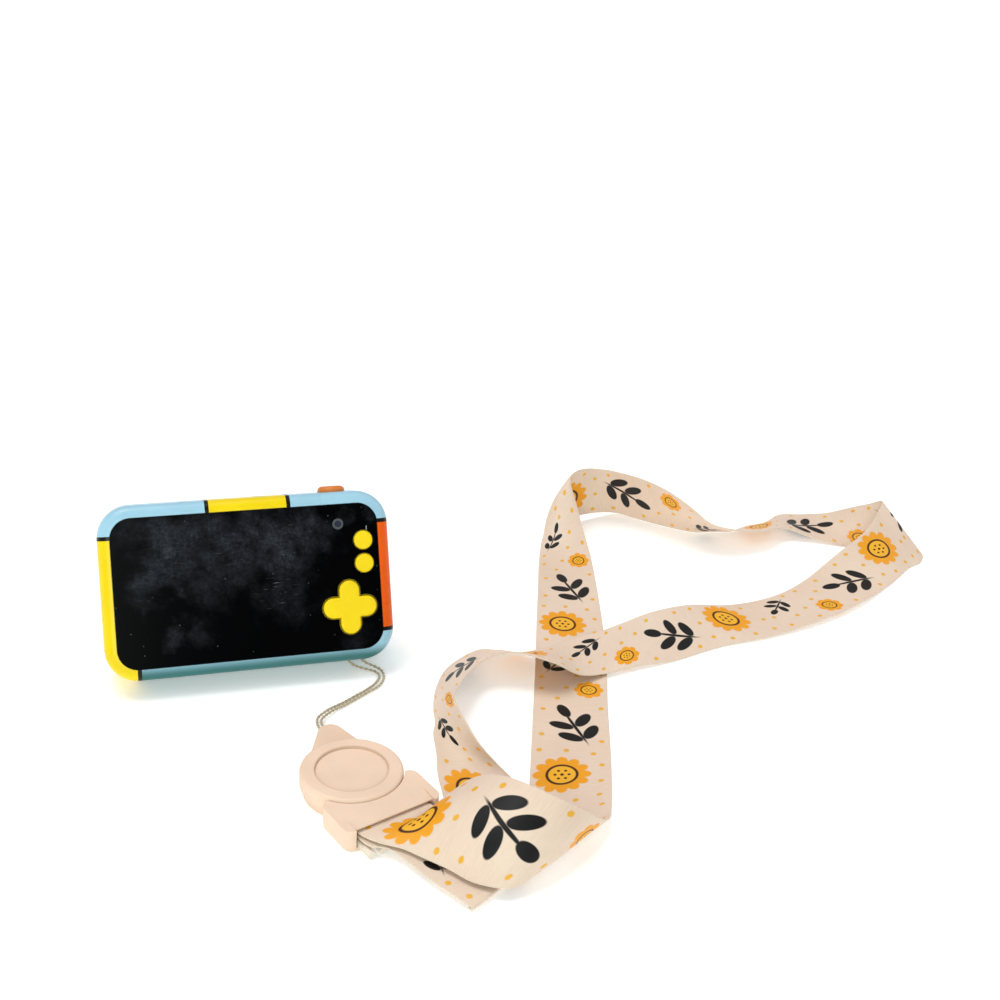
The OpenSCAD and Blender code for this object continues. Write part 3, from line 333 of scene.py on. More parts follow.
for slot, (name, code, roughness, spacing, strength, under) in MOULDED.items():
    finish, tree, shader = new_finish(name, IOR=1.5, Specular_IOR_Level=0.28, Subsurface_Weight=under,
                                      Subsurface_Scale=2 * MM)
    place = add(tree, "ShaderNodeTexCoord").outputs["Object"]
    drift = add(tree, "ShaderNodeTexNoise", {"Vector": place, "Scale": 1 / DRIFT, "Detail": 2.0}).outputs[0]
    shade = add(tree, "ShaderNodeMapRange", {0: drift, 1: 0.3, 2: 0.7, 3: 0.95, 4: 1.03}).outputs[0]
    if slot == "clip_plastic":
        # Painted shade: a thin darker ring in the corner of the disc's dish, where the groove lies in shadow
        out = add(tree, "ShaderNodeVectorMath", {0: place, 1: (1, 1, 0)}, operation="MULTIPLY").outputs[0]
        out = add(tree, "ShaderNodeVectorMath", {0: out, 1: CLIP_AT}, operation="DISTANCE").outputs["Value"]
        out = add(tree, "ShaderNodeMath", {0: out, 1: DISH_R}, operation="SUBTRACT").outputs[0]
        out = add(tree, "ShaderNodeMath", {0: out}, operation="ABSOLUTE").outputs[0]
        groove_shade = add(tree, "ShaderNodeMapRange", {0: out, 1: GROOVE_SHADE_NEAR, 2: GROOVE_SHADE_FAR, 3: GROOVE_SHADE_DARK,
                                                4: 1.0}).outputs[0]
        shade = add(tree, "ShaderNodeMath", {0: shade, 1: groove_shade}, operation="MULTIPLY").outputs[0]
    tint = add(tree, "ShaderNodeVectorMath", {0: linear(code)[:3], "Scale": shade}, operation="SCALE")
    tree.links.new(tint.outputs[0], shader.inputs["Base Color"])
    gloss = add(tree, "ShaderNodeMapRange", {0: drift, 1: 0.3, 2: 0.7, 3: roughness - 0.05,
                                             4: roughness + 0.06}).outputs[0]
    tree.links.new(gloss, shader.inputs["Roughness"])
    spark = add(tree, "ShaderNodeTexNoise", {"Vector": place, "Scale": 1 / (spacing * MM),
                                             "Detail": 2.0}).outputs[0]
    skin = add(tree, "ShaderNodeBump", {"Height": spark, "Strength": strength, "Distance": SKIN_DEEP})
    tree.links.new(skin.outputs[0], shader.inputs["Normal"])
    FINISHES[slot] = finish
print("moulded finishes:", ", ".join(MOULDED))

# %% [markdown]
# Metal, glass and the circuit board complete the set. Plated steel is brushed, so its noise is stretched
# along one axis. The flash window is a clear sheet with fine ribs. The board has a solder mask with copper
# traces that show as paler lines under it.

# %% Plated steel
# Brush marks some 3.3 mm long and 0.25 mm apart, as marks per metre
BRUSH = (300, 4000, 4000)

finish, tree, shader = new_finish("plated_steel", Metallic=1.0)
place = add(tree, "ShaderNodeTexCoord").outputs["Object"]
brush = add(tree, "ShaderNodeMapping", {"Vector": place, "Scale": BRUSH}).outputs[0]
streak = add(tree, "ShaderNodeTexNoise", {"Vector": brush, "Scale": 1.0, "Detail": 3.0}).outputs[0]
tint = add(tree, "ShaderNodeMix", {0: streak, 6: linear("#a9acb1"), 7: linear("#cfd2d6")}, data_type="RGBA")
tree.links.new(tint.outputs[2], shader.inputs["Base Color"])
gloss = add(tree, "ShaderNodeMapRange", {0: streak, 1: 0.3, 2: 0.7, 3: 0.22, 4: 0.38}).outputs[0]
tree.links.new(gloss, shader.inputs["Roughness"])
FINISHES["steel_fittings"] = finish
print("plated steel:", len(tree.nodes), "nodes")

# %% Glass, display and flash window
# A Wave texture repeats about 3.2 times in one over its scale, so the window's ribs are 0.75 mm apart
RIB_SCALE = 1 / (2.4 * MM)
TINT_DRIFT = 9 * MM
# slot, name, the two tints that it drifts between, roughness
GLASSES = [("lens_glass", "coated_lens_glass", "#0b0d14", "#25304f", 0.05),
           ("display", "display_glass", "#0c0d10", "#16181d", 0.12),
           ("flash_window", "clear_prism_window", "#e9e6d6", "#fbf9ee", 0.15)]

for slot, name, dark, pale, roughness in GLASSES:
    finish, tree, shader = new_finish(name, Roughness=roughness, IOR=1.52, Coat_Weight=0.4,
                                      Coat_Roughness=0.04)
    place = add(tree, "ShaderNodeTexCoord").outputs["Object"]
    if slot == "flash_window":
        blend = add(tree, "ShaderNodeTexWave", {"Vector": place, "Scale": RIB_SCALE},
                    bands_direction="X").outputs[1]
        ribs = add(tree, "ShaderNodeBump", {"Height": blend, "Strength": 0.4, "Distance": 0.3 * MM})
        tree.links.new(ribs.outputs[0], shader.inputs["Normal"])
    else:
        blend = add(tree, "ShaderNodeTexNoise", {"Vector": place, "Scale": 1 / TINT_DRIFT,
                                                 "Detail": 2.0}).outputs[0]
    tint = add(tree, "ShaderNodeMix", {0: blend, 6: linear(dark), 7: linear(pale)}, data_type="RGBA")
    tree.links.new(tint.outputs[2], shader.inputs["Base Color"])
    FINISHES[slot] = finish
print("glass finishes:", len(GLASSES))

# %% Solder mask of the board
finish, tree, shader = new_finish("green_solder_mask", Roughness=0.35, IOR=1.5)
own, _ = own_frame(tree)
bricks = add(tree, "ShaderNodeTexBrick", {
    "Vector": own, "Color1": linear("#1c6742"), "Color2": linear("#1a5f3d"), "Mortar": linear("#2f8a58"),
    "Scale": 0.28, "Mortar Size": 0.06})
tree.links.new(bricks.outputs[0], shader.inputs["Base Color"])
FINISHES["circuit_board"] = finish
print("finishes so far:", len(FINISHES))

# %% [markdown]
# The ribbon is a flat satin band 25 mm wide, printed on both faces. The print is drawn on the ribbon's own UV
# map, which holds millimetres: u across the width from the middle, v along the length. A repeat of 92 mm
# carries a large and a small amber flower, a large and a small sprig of black leaves, staggered from side to
# side, and a scatter of small amber dots. Each shape is a stamp, an ellipse with a soft edge.

# %% Printed satin of the ribbon: cloth and stamps
RIBBON_W = 25.0
REPEAT = 92.0
AMBER, HONEY, BARK, SOOT, MUSTARD = "#f0a01c", "#f4b22a", "#4a2008", "#090808", "#eaae3c"
CLOTH_SHADE, CLOTH_PALE = "#e0c2ac", "#eed9c6"
FINE_EDGE, PRINT_EDGE, SOFT_EDGE = 0.12, 0.15, 0.2

finish, tree, shader = new_finish("printed_satin_ribbon", IOR=1.5, Specular_IOR_Level=0.26, Sheen_Weight=0.05,
                                  Sheen_Roughness=0.35)
cloth = add(tree, "ShaderNodeUVMap", uv_map="band").outputs[0]
across, along, _ = add(tree, "ShaderNodeSeparateXYZ", {0: cloth}).outputs
step = add(tree, "ShaderNodeMath", {0: along, 1: REPEAT}, operation="FLOORED_MODULO").outputs[0]
spot = add(tree, "ShaderNodeCombineXYZ", {0: across, 1: step}).outputs[0]


def stamp(tree, spot, at, turn, size, edge):
    """1 inside an ellipse of the given half sizes, 0 outside, with a soft edge, in millimetres."""
    local = add(tree, "ShaderNodeMapping", {"Vector": spot, "Location": (at[0], at[1], 0),
                                            "Rotation": (0, 0, math.radians(turn)),
                                            "Scale": (size[0], size[1], 1)}, vector_type="TEXTURE").outputs[0]
    reach = add(tree, "ShaderNodeVectorMath", {0: local}, operation="LENGTH").outputs["Value"]
    return add(tree, "ShaderNodeMapRange", {0: reach, 1: 1 - edge / min(size), 2: 1 + edge / min(size),
                                            3: 1.0, 4: 0.0}).outputs[0]


def layer(tree, below, marks, code):
    """Lays marks of one ink over the colour below."""
    ink = marks[0]
    for mark in marks[1:]:
        ink = add(tree, "ShaderNodeMath", {0: ink, 1: mark}, operation="MAXIMUM").outputs[0]
    return add(tree, "ShaderNodeMix", {0: ink, 6: below, 7: linear(code)}, data_type="RGBA").outputs[2]


# Shade of the cloth itself: slight soiling in patches some 30 mm long
soil = add(tree, "ShaderNodeTexNoise", {"Vector": cloth, "Scale": 0.035, "Detail": 3.0}).outputs[0]
print_on = add(tree, "ShaderNodeMix", {0: soil, 6: linear(CLOTH_SHADE), 7: linear(CLOTH_PALE)},
               data_type="RGBA").outputs[2]
print("cloth:", RIBBON_W, "mm wide, the print repeats every", REPEAT, "mm")

# %% Printed satin of the ribbon: flowers
# Round petals, a disc, a brown ring and a dotted middle. Each flower has its place, its size and its petals.
FLOWERS = [((-2.8, 17.0), 1.0, 12), ((6.2, 66.0), 0.56, 8)]
# Sizes of the flower of size 1: how far out a petal lies, its half length and all the petals' half widths
PETAL_OUT, PETAL_LONG, PETALS_WIDE = 6.6, 2.6, 22.8
SEEDS, SEED_OUT, SEED_R, MIDDLE_SEED_R = 6, 2.2, 0.5, 0.6
DISC_R, RING_R, HEART_R = 7.0, 5.2, 4.3


def on_circle(middle, radius, degrees):
    """The point of a circle at an angle."""
    turn = math.radians(degrees)
    return middle[0] + radius * math.cos(turn), middle[1] + radius * math.sin(turn)


petals, discs, rings, hearts, seeds = [], [], [], [], []
for at, share, count in FLOWERS:
    for k in range(count):
        turn = 360 * k / count
        petals.append(stamp(tree, spot, on_circle(at, PETAL_OUT * share, turn), turn,
                            (PETAL_LONG * share, PETALS_WIDE / count * share), PRINT_EDGE))
    for k in range(SEEDS):
        seeds.append(stamp(tree, spot, on_circle(at, SEED_OUT * share, 360 / SEEDS * k), 0,
                           (SEED_R * share, SEED_R * share), FINE_EDGE))
    for marks, radius, edge in ((seeds, MIDDLE_SEED_R, FINE_EDGE), (discs, DISC_R, SOFT_EDGE),
                                (rings, RING_R, PRINT_EDGE), (hearts, HEART_R, PRINT_EDGE)):
        marks.append(stamp(tree, spot, at, 0, (radius * share, radius * share), edge))
for marks, code in ((petals + discs, AMBER), (rings, BARK), (hearts, HONEY), (seeds, BARK)):
    print_on = layer(tree, print_on, marks, code)
print("flowers:", len(FLOWERS), "with", len(petals), "petals")

# %% Printed satin of the ribbon: sprigs and dots
# A stem with five leaves, in black. Each sprig has its place, its turn and its size.
SPRIGS = [((1.6, 43.0), 24, 1.0), ((-5.2, 82.0), -34, 0.62)]
STEM_AND_LEAVES = [
    ((0, 0), 90, (9.4, 0.6)), ((-3.8, -4.4), 138, (4.3, 2.1)), ((3.8, -3.8), 42, (4.4, 2.1)),
    ((-4.0, 2.6), 142, (4.2, 2.0)), ((4.1, 3.2), 38, (4.3, 2.1)), ((0.2, 10.2), 90, (3.9, 2.0))]
DOT_R = 0.9
DOTS = [
    (8.8, 4.0), (1.5, 3.0), (-9.0, 5.4), (9.4, 12.5), (9.8, 22.0), (7.2, 28.5), (-10.2, 29.5), (-1.5, 29.8),
    (10.0, 36.0), (-9.6, 38.0), (-9.4, 53.0), (10.4, 55.0), (-4.6, 60.0), (-10.2, 66.0), (-1.6, 67.0),
    (2.0, 75.0), (10.2, 76.0), (4.8, 82.0), (9.6, 89.0), (1.8, 90.4), (-10.4, 73.5)]

leaves = []
for (sx, sy), turn, share in SPRIGS:
    cosine, sine = math.cos(math.radians(turn)) * share, math.sin(math.radians(turn)) * share
    for (lx, ly), own_turn, size in STEM_AND_LEAVES:
        at = (sx + cosine * lx - sine * ly, sy + sine * lx + cosine * ly)
        leaves.append(stamp(tree, spot, at, own_turn + turn, (size[0] * share, size[1] * share), FINE_EDGE))
print_on = layer(tree, print_on, leaves, SOOT)
dots = [stamp(tree, spot, at, 0, (DOT_R, DOT_R), FINE_EDGE) for at in DOTS]
print_on = layer(tree, print_on, dots, MUSTARD)
print("sprigs:", len(SPRIGS), "and", len(DOTS), "dots")

# %% Printed satin of the ribbon: threads
# Threads take the ink unevenly: streaks across the band, some 0.6 mm wide and 5 mm long
streaks = add(tree, "ShaderNodeMapping", {"Vector": cloth, "Scale": (0.2, 1.7, 1.0)}).outputs[0]
streaks = add(tree, "ShaderNodeTexNoise", {"Vector": streaks, "Scale": 1.0, "Detail": 2.0}).outputs[0]
uneven = add(tree, "ShaderNodeMapRange", {0: streaks, 1: 0.3, 2: 0.7, 3: 0.965, 4: 1.03}).outputs[0]
print_on = add(tree, "ShaderNodeVectorMath", {0: print_on, "Scale": uneven}, operation="SCALE").outputs[0]
tree.links.new(print_on, shader.inputs["Base Color"])
# Satin weave: real threads are about 0.25 mm apart. They are drawn coarser so that they show, 0.57 mm apart
# along the band and 0.35 mm across it.
threads = add(tree, "ShaderNodeTexWave", {"Vector": cloth, "Scale": 0.55, "Distortion": 0.3},
              bands_direction="Y").outputs[1]
cross = add(tree, "ShaderNodeTexWave", {"Vector": cloth, "Scale": 0.9, "Distortion": 0.2},
            bands_direction="X").outputs[1]
weave = add(tree, "ShaderNodeMath", {0: threads, 1: cross}, operation="MULTIPLY").outputs[0]
relief = add(tree, "ShaderNodeBump", {"Height": weave, "Strength": 0.25, "Distance": SKIN_DEEP}).outputs[0]
tree.links.new(relief, shader.inputs["Normal"])
gloss = add(tree, "ShaderNodeMapRange", {0: weave, 1: 0.0, 2: 1.0, 3: 0.5, 4: 0.3}).outputs[0]
tree.links.new(gloss, shader.inputs["Roughness"])
FINISHES["ribbon"] = finish
print("printed satin:", len(tree.nodes), "nodes")

# %% Spun thread of the thin cord and of the ribbon's edges
FUZZ = 0.6 * MM

for slot, name, dark, pale in (("cord", "spun_cotton_thread", "#8f8064", "#d8cab0"),
                               ("selvedge", "spun_satin_thread", "#d6bca4", "#f0dfcd")):
    finish, tree, shader = new_finish(name, Roughness=0.75, IOR=1.5, Sheen_Weight=0.2)
    place = add(tree, "ShaderNodeTexCoord").outputs["Object"]
    fuzz = add(tree, "ShaderNodeTexNoise", {"Vector": place, "Scale": 1 / FUZZ, "Detail": 3.0}).outputs[0]
    tint = add(tree, "ShaderNodeMix", {0: fuzz, 6: linear(dark), 7: linear(pale)}, data_type="RGBA")
    tree.links.new(tint.outputs[2], shader.inputs["Base Color"])
    FINISHES[slot] = finish
print("finishes:", len(FINISHES))

# %% [markdown]
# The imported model's meshes are exact but triangulated, so each piece that shows gets a merged copy with
# smooth normals: edges sharper than 32 degrees stay crisp, and weighted normals keep the flat faces flat.
# Pieces that stay inside the housing only change their finish.

# %% Dress the rigid pieces
SHOWN = {
    "front_shell": "printed_body", "rear_shell": "printed_body", "lens_ring": "printed_body",
    "rear_panel": "black_panel", "rear_lens_ring": "grey_ring", "rear_lens_glass": "lens_glass",
    "shutter_button": "orange_key", "power_button": "green_key", "button_upper": "yellow_keys",
    "button_lower": "yellow_keys", "dpad": "yellow_keys", "lens_baffle": "black_baffle",
    "lens_glass": "lens_glass", "flash_lens": "flash_window", "clip_base": "clip_plastic",
    "clip_disc": "clip_plastic", "clip_buckle": "clip_plastic", "ribbon_clamp": "white_fittings",
}
INSIDE = {
    "panel_gasket": "gasket_foam", "lcd_module": "display", "main_board": "circuit_board",
    "battery": "cell_wrap", "speaker": "dark_fittings", "microphone": "steel_fittings",
    "camera_module": "dark_fittings", "flash_led": "flash_led", "rear_camera": "dark_fittings",
    "shutter_switch": "dark_fittings", "power_switch": "dark_fittings", "dpad_pivot": "white_fittings",
    "keypad_membrane": "silicone", "switch_domes": "steel_fittings", "usb_port": "steel_fittings",
    "card_slot": "steel_fittings", "strap_pin": "steel_fittings", "shell_screws": "steel_fittings",
    "board_screws": "steel_fittings",
}
MERGE = 1e-6
CRISP, BEVEL_FROM = math.radians(32), math.radians(40)
SOFT_EDGES = {"rear_panel": 0.3, "clip_disc": 0.25}


def dressed(node, slot, bevel=0.0):
    """A merged, smooth copy of a CAD node in its finish, in the node's place."""
    mesh = nodes[node].data.copy()
    work = bmesh.new()
    work.from_mesh(mesh)
    bmesh.ops.remove_doubles(work, verts=work.verts, dist=MERGE)
    work.to_mesh(mesh)
    work.free()
    # The file's own normals no longer fit the merged mesh
    if "custom_normal" in mesh.attributes:
        mesh.attributes.remove(mesh.attributes["custom_normal"])
    mesh.materials.clear()
    mesh.materials.append(FINISHES[slot])
    mesh.shade_smooth()
    mesh.set_sharp_from_angle(angle=CRISP)
    piece = in_scene(node + "_finish", mesh)
    if bevel:
        edge = piece.modifiers.new("soft_edge", "BEVEL")
        edge.width, edge.segments, edge.limit_method = bevel * MM, 2, "ANGLE"
        edge.angle_limit = BEVEL_FROM
    # The selfie lens is so small that its faces weigh too little to be weighted
    if node != "rear_lens_glass":
        even = piece.modifiers.new("even_faces", "WEIGHTED_NORMAL")
        even.keep_sharp = True
    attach(piece, body_of[node])
    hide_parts(node)
    return piece


dressings = {node: dressed(node, slot, SOFT_EDGES.get(node, 0.0)) for node, slot in SHOWN.items()}
for node, slot in INSIDE.items():
    nodes[node].data.materials.clear()
    nodes[node].data.materials.append(FINISHES[slot])
print(len(dressings), "pieces dressed,", len(INSIDE), "inner pieces finished")

# %% [markdown]
# The photographed direction pad is flat. The CAD pad has a shallow dimple in its middle, so the copy's few
# points inside that dimple are raised to the pad's crown.

# %% Fill the dimple of the direction pad
DIMPLE_R, DIMPLE_DEEP = 3.0 * MM, 0.5 * MM

out_of_back = Vector(OUT_OF_BACK)
up_the_back = Vector((0, math.cos(LEAN), math.sin(LEAN)))
spots = [(v, v.co.x, v.co.dot(up_the_back), v.co.dot(out_of_back)) for v in dressings["dpad"].data.vertices]
pad_x, pad_y = [(min(s[k] for s in spots) + max(s[k] for s in spots)) / 2 for k in (1, 2)]
crown = max(s[3] for s in spots)
raised = [(v, crown - high) for v, across, along, high in spots
          if 0 < crown - high < DIMPLE_DEEP and math.hypot(across - pad_x, along - pad_y) < DIMPLE_R]
for vert, drop in raised:
    vert.co += out_of_back * drop
print(len(raised), "points of the dimple raised")

# %% [markdown]
# The ribbon lies as it was photographed: out of the buckle into a high curl, away to the right, twisted over
# and up on edge along the far side, back over itself and into the buckle again. Its two edges are given at
# stations along the way, in millimetres, and smooth curves through them make the band. In the curl and in the
# twist it also bows across.

# %% The ribbon's stations
# x, y and z of one edge and then of the other
RIBBON_EDGES = [
    # out of the buckle and up into a curl
    (16.9, -107.1, 4.9, 40.2, -98.2, 4.9), (19.6, -112.9, 4.9, 42.4, -103.9, 5),
    (24, -117.4, 4.9, 45.6, -107, 6.4), (30.5, -121.2, 4.6, 51.5, -105.5, 12),
    (35.5, -126, 4.4, 57, -110, 18), (41.5, -132, 4.2, 62, -117.5, 22), (46.5, -138, 4, 68, -125, 23),
    (52, -141.5, 4, 75, -129, 20.5),
    (56.5, -143, 4, 82, -128.5, 15.5), (60, -141.5, 3.8, 88.5, -125, 9), (63.5, -135, 3.4, 93.5, -120.5, 4.5),
    (67, -126, 2.6, 97, -113.5, 1.6), (72, -110, 1.6, 100, -106, 0.6), (79, -89, 0.8, 104.5, -93, 0.6),
    # flat run away to the right
    (86, -68, 0.6, 110, -76, 0.6), (92, -50, 0.6, 116, -57, 0.6), (98, -32, 0.6, 122.5, -38, 0.6),
    (107, -4, 2, 131, -10, 0.6), (114.5, 19, 2.6, 138.5, 18, 0.6), (122, 42, 2, 145, 45, 1),
    # twisted over its left edge, so that the other face shows from here on
    (126, 53, 1.4, 145.6, 57.5, 6.5), (129, 61, 1, 145, 67, 14.5), (132, 67, 1, 144.6, 76, 21.8),
    (139, 73.5, 2, 148.4, 79.8, 23.8), (149.5, 79, 3, 154, 81.2, 24.2), (160.5, 82.5, 2.4, 159.5, 79.6, 24.2),
    # on edge along the far side, then down and up into the far turn
    (171, 84, 0.6, 165, 77, 24), (179, 76, 0.6, 174, 68, 24), (189, 67, 0.6, 182, 58, 22.5),
    (198, 61, 0.6, 189, 48, 19), (206, 60, 0.6, 196, 42, 14), (215, 59, 0.6, 205, 39, 12),
    (223, 62, 0.6, 213, 40, 10), (233, 64, 0.6, 222, 42, 8.5), (243, 70, 0.6, 234, 48, 6),
    (253, 68, 1, 244, 45, 3), (262, 62, 4, 254, 40, 1), (268, 54, 10, 264, 35, 0.6),
    (273, 47, 15, 275, 31, 0.6), (276, 43, 18, 288, 27, 0.6),
    # back towards the camera, over the first run
    (271, 37, 16, 284, 19, 0.6), (259, 25, 14, 276, 15, 0.6), (243, 19, 7, 260, 3, 0.6),
    (224, 9, 2, 238, -11, 2), (206, 1, 1, 217, -20, 2), (187, -2, 1, 194, -26, 1),
    (168, -4, 4, 171, -29, 0.6), (151, -9, 5.5, 150, -35, 0.6), (137, -14, 5, 133, -38, 2),
    (126.5, -18, 4.8, 120, -41, 2.2),
    (113, -21, 4, 110, -44, 5), (103, -24, 4, 99.5, -46.5, 12.5), (96, -20, 0.6, 89.5, -41, 14),
    # round the left bend, half on edge
    (88, -17, 0.6, 83, -38, 13), (80, -16, 0.6, 76, -38, 10.5), (67.5, -25, 0.6, 67.5, -48, 12),
    (60.5, -37, 0.6, 61, -59, 12.5), (57, -48, 0.6, 60, -68, 13), (55.5, -57, 0.6, 61, -76, 12),
    (53.5, -63, 0.6, 63.5, -82, 8.5), (52, -74, 0.6, 68, -87, 4), (50, -84, 0.6, 72, -93, 1.2),
    (49, -96, 0.6, 73, -100, 0.6),
    # flat, folded over at the front and back into the buckle
    (47, -112, 0.6, 71.5, -114, 0.6), (46, -126, 0.6, 69, -122, 0.6), (45, -138, 0.6, 67.5, -127.5, 0.6),
    (44.5, -145, 0.6, 66.5, -130.5, 0.6), (44.8, -146, 1.3, 67, -131.2, 1.3), (44, -145, 2, 66, -130.5, 2),
    (36, -133, 2.3, 58.5, -120, 2.3), (27.5, -119.5, 3.2, 51, -110, 3.2),
    (21.4, -116.8, 3.6, 43.7, -107.8, 3.6), (16.9, -107.1, 3.5, 40.2, -98.2, 3.5)]
# How far the band bows across at a station, by the station's number
BOW = {2: 0.6, 3: 1.6, 4: 2.6, 5: 3.2, 6: 3.4, 7: 3.0, 8: 2.2, 9: 1.2, 10: 0.4,
       19: -0.4, 20: -1.2, 21: -2.2, 22: -2.6, 23: -1.8, 24: -0.8}
print("ribbon:", len(RIBBON_EDGES), "stations")

# %% Smooth edges through the stations
STEPS = 8


def smooth(points, steps):
    """Points on a smooth curve through the given ones, with the given number of steps between each two."""
    p = np.array(points, float)
    out = []
    for i in range(len(p) - 1):
        a, b, c, d = p[max(i - 1, 0)], p[i], p[i + 1], p[min(i + 2, len(p) - 1)]
        for k in range(steps):
            t = k / steps
            out.append(0.5 * (2 * b + (c - a) * t + (2 * a - 5 * b + 4 * c - d) * t * t
                              + (3 * b - a - 3 * c + d) * t ** 3))
    return np.array(out + [p[-1]])


left_edge = smooth([e[:3] for e in RIBBON_EDGES], STEPS)
right_edge = smooth([e[3:] for e in RIBBON_EDGES], STEPS)
bow = np.interp(np.arange(len(left_edge)) / STEPS, range(len(RIBBON_EDGES)),
                [BOW.get(i, 0.0) for i in range(len(RIBBON_EDGES))])
middle = (left_edge + right_edge) / 2
run = np.r_[0, np.cumsum(np.linalg.norm(np.diff(middle, axis=0), axis=1))]
print("ribbon:", len(middle), "rows,", round(run[-1], 1), "mm long")

# %% [markdown]
# The band is a closed mesh: a grid of points across its width on the upper face, the same grid on the lower
# face, and a strip along each edge and end. Both faces share the UV map that the print is drawn on.

# %% The ribbon's points
RIBBON_T = 0.55
COLUMNS = 13
FLOOR_GAP = 0.04


def band_rows(left, right, bow, thickness, columns):
    """Upper and lower grids of a band between two edges, bowed across, never below the floor."""
    mid = (left + right) / 2
    ahead = np.gradient(mid, axis=0)
    normal = np.cross(ahead, right - left)
    normal /= np.linalg.norm(normal, axis=1)[:, None]
    share = np.linspace(0, 1, columns)
    core = left[:, None] + (right - left)[:, None] * share[None, :, None]
    core += normal[:, None] * (bow[:, None] * (1 - (2 * share - 1) ** 2)[None])[..., None]
    grids = [core + normal[:, None] * half for half in (thickness / 2, -thickness / 2)]
    for grid in grids:
        grid[..., 2] = np.maximum(grid[..., 2], FLOOR_GAP)
    return grids, share


(upper, lower), share = band_rows(left_edge, right_edge, bow, RIBBON_T, COLUMNS)
rows = len(middle)
verts = np.concatenate([upper.reshape(-1, 3), lower.reshape(-1, 3)]) * MM
uv_of = np.array([((s - 0.5) * RIBBON_W, v) for v in run for s in share])
uv_of = np.concatenate([uv_of, uv_of])
print("ribbon band:", len(verts), "points")

# %% The ribbon's mesh
BAND_CRISP = math.radians(60)
under = rows * COLUMNS


def corner(row, column):
    """Number of a point of the upper face. The point below it has this number plus under."""
    return row * COLUMNS + column


faces = []
for i in range(rows - 1):
    for k in range(COLUMNS - 1):
        a, b, c, d = corner(i, k), corner(i, k + 1), corner(i + 1, k + 1), corner(i + 1, k)
        faces += [(a, b, c, d), (under + d, under + c, under + b, under + a)]
    for k, flip in ((0, False), (COLUMNS - 1, True)):
        a, d = corner(i, k), corner(i + 1, k)
        faces.append((a, under + a, under + d, d) if flip else (d, under + d, under + a, a))
for i, flip in ((0, True), (rows - 1, False)):
    for k in range(COLUMNS - 1):
        a, b = corner(i, k), corner(i, k + 1)
        faces.append((a, under + a, under + b, b) if flip else (b, under + b, under + a, a))
mesh = bpy.data.meshes.new("ribbon_band")
mesh.from_pydata(verts.tolist(), [], faces)
layer_uv = mesh.uv_layers.new(name="band")
for loop in mesh.loops:
    layer_uv.data[loop.index].uv = uv_of[loop.vertex_index]
work = bmesh.new()
work.from_mesh(mesh)
bmesh.ops.recalc_face_normals(work, faces=work.faces)
work.to_mesh(mesh)
work.free()
mesh.materials.append(FINISHES["ribbon"])
mesh.shade_smooth()
mesh.set_sharp_from_angle(angle=BAND_CRISP)
ribbon = in_scene("ribbon_band", mesh)
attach(ribbon, "lanyard")
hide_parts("ribbon")
print("ribbon band:", len(mesh.polygons), "faces")

# %% [markdown]
# Both edges of a woven ribbon end in a selvedge, a firm rolled line of thread. It follows a path, so Geometry
# Nodes make it: the edge becomes a curve, is resampled, and a round profile is swept along it. The tree can
# also twist several strands round each other, which the thin cord needs below.

# %% A tree that sweeps a round thread along a line
RING_POINTS = 6


def thread_tree(name, finish, strands, pitch):
    """Geometry Nodes tree that turns a line of points into a thread of twisted strands."""
    tree = bpy.data.node_groups.new(name, "GeometryNodeTree")
    tree.interface.new_socket("Line", in_out="INPUT", socket_type="NodeSocketGeometry")
    for title, size in (("Thread radius", 0.3 * MM), ("Strand offset", 0.0), ("Sample length", 0.5 * MM)):
        tree.interface.new_socket(title, in_out="INPUT", socket_type="NodeSocketFloat").default_value = size
    tree.interface.new_socket("Thread", in_out="OUTPUT", socket_type="NodeSocketGeometry")
    start = add(tree, "NodeGroupInput")
    line = add(tree, "GeometryNodeMeshToCurve", {"Mesh": start.outputs["Line"]}).outputs[0]
    line = add(tree, "GeometryNodeResampleCurve", {"Curve": line, "Length": start.outputs["Sample length"]},
               mode="LENGTH").outputs[0]
    ring = add(tree, "GeometryNodeCurvePrimitiveCircle",
               {"Resolution": RING_POINTS, "Radius": start.outputs["Thread radius"]},
               mode="RADIUS").outputs[0]
    gone = add(tree, "GeometryNodeSplineParameter").outputs["Length"]
    side = add(tree, "GeometryNodeInputNormal").outputs[0]
    ahead = add(tree, "GeometryNodeInputTangent").outputs[0]
    joined = add(tree, "GeometryNodeJoinGeometry")
    for k in range(strands):
        angle = add(tree, "ShaderNodeMath", {0: gone, 1: 2 * math.pi / (pitch * MM),
                                             2: 2 * math.pi * k / strands},
                    operation="MULTIPLY_ADD").outputs[0]
        out = add(tree, "ShaderNodeVectorRotate", {"Vector": side, "Axis": ahead, "Angle": angle},
                  rotation_type="AXIS_ANGLE").outputs[0]
        out = add(tree, "ShaderNodeVectorMath", {0: out, "Scale": start.outputs["Strand offset"]},
                  operation="SCALE").outputs[0]
        strand = add(tree, "GeometryNodeSetPosition", {"Geometry": line, "Offset": out}).outputs[0]
        tube = add(tree, "GeometryNodeCurveToMesh", {"Curve": strand, "Profile Curve": ring,
                                                     "Fill Caps": True})
        tree.links.new(tube.outputs[0], joined.inputs[0])
    whole = add(tree, "GeometryNodeRealizeInstances", {0: joined.outputs[0]}).outputs[0]
    whole = add(tree, "GeometryNodeSetShadeSmooth", {0: whole}).outputs[0]
    whole = add(tree, "GeometryNodeSetMaterial", {"Geometry": whole, "Material": finish}).outputs[0]
    add(tree, "NodeGroupOutput", {0: whole})
    print(name + ":", strands, "strands,", len(tree.nodes), "nodes")
    return tree


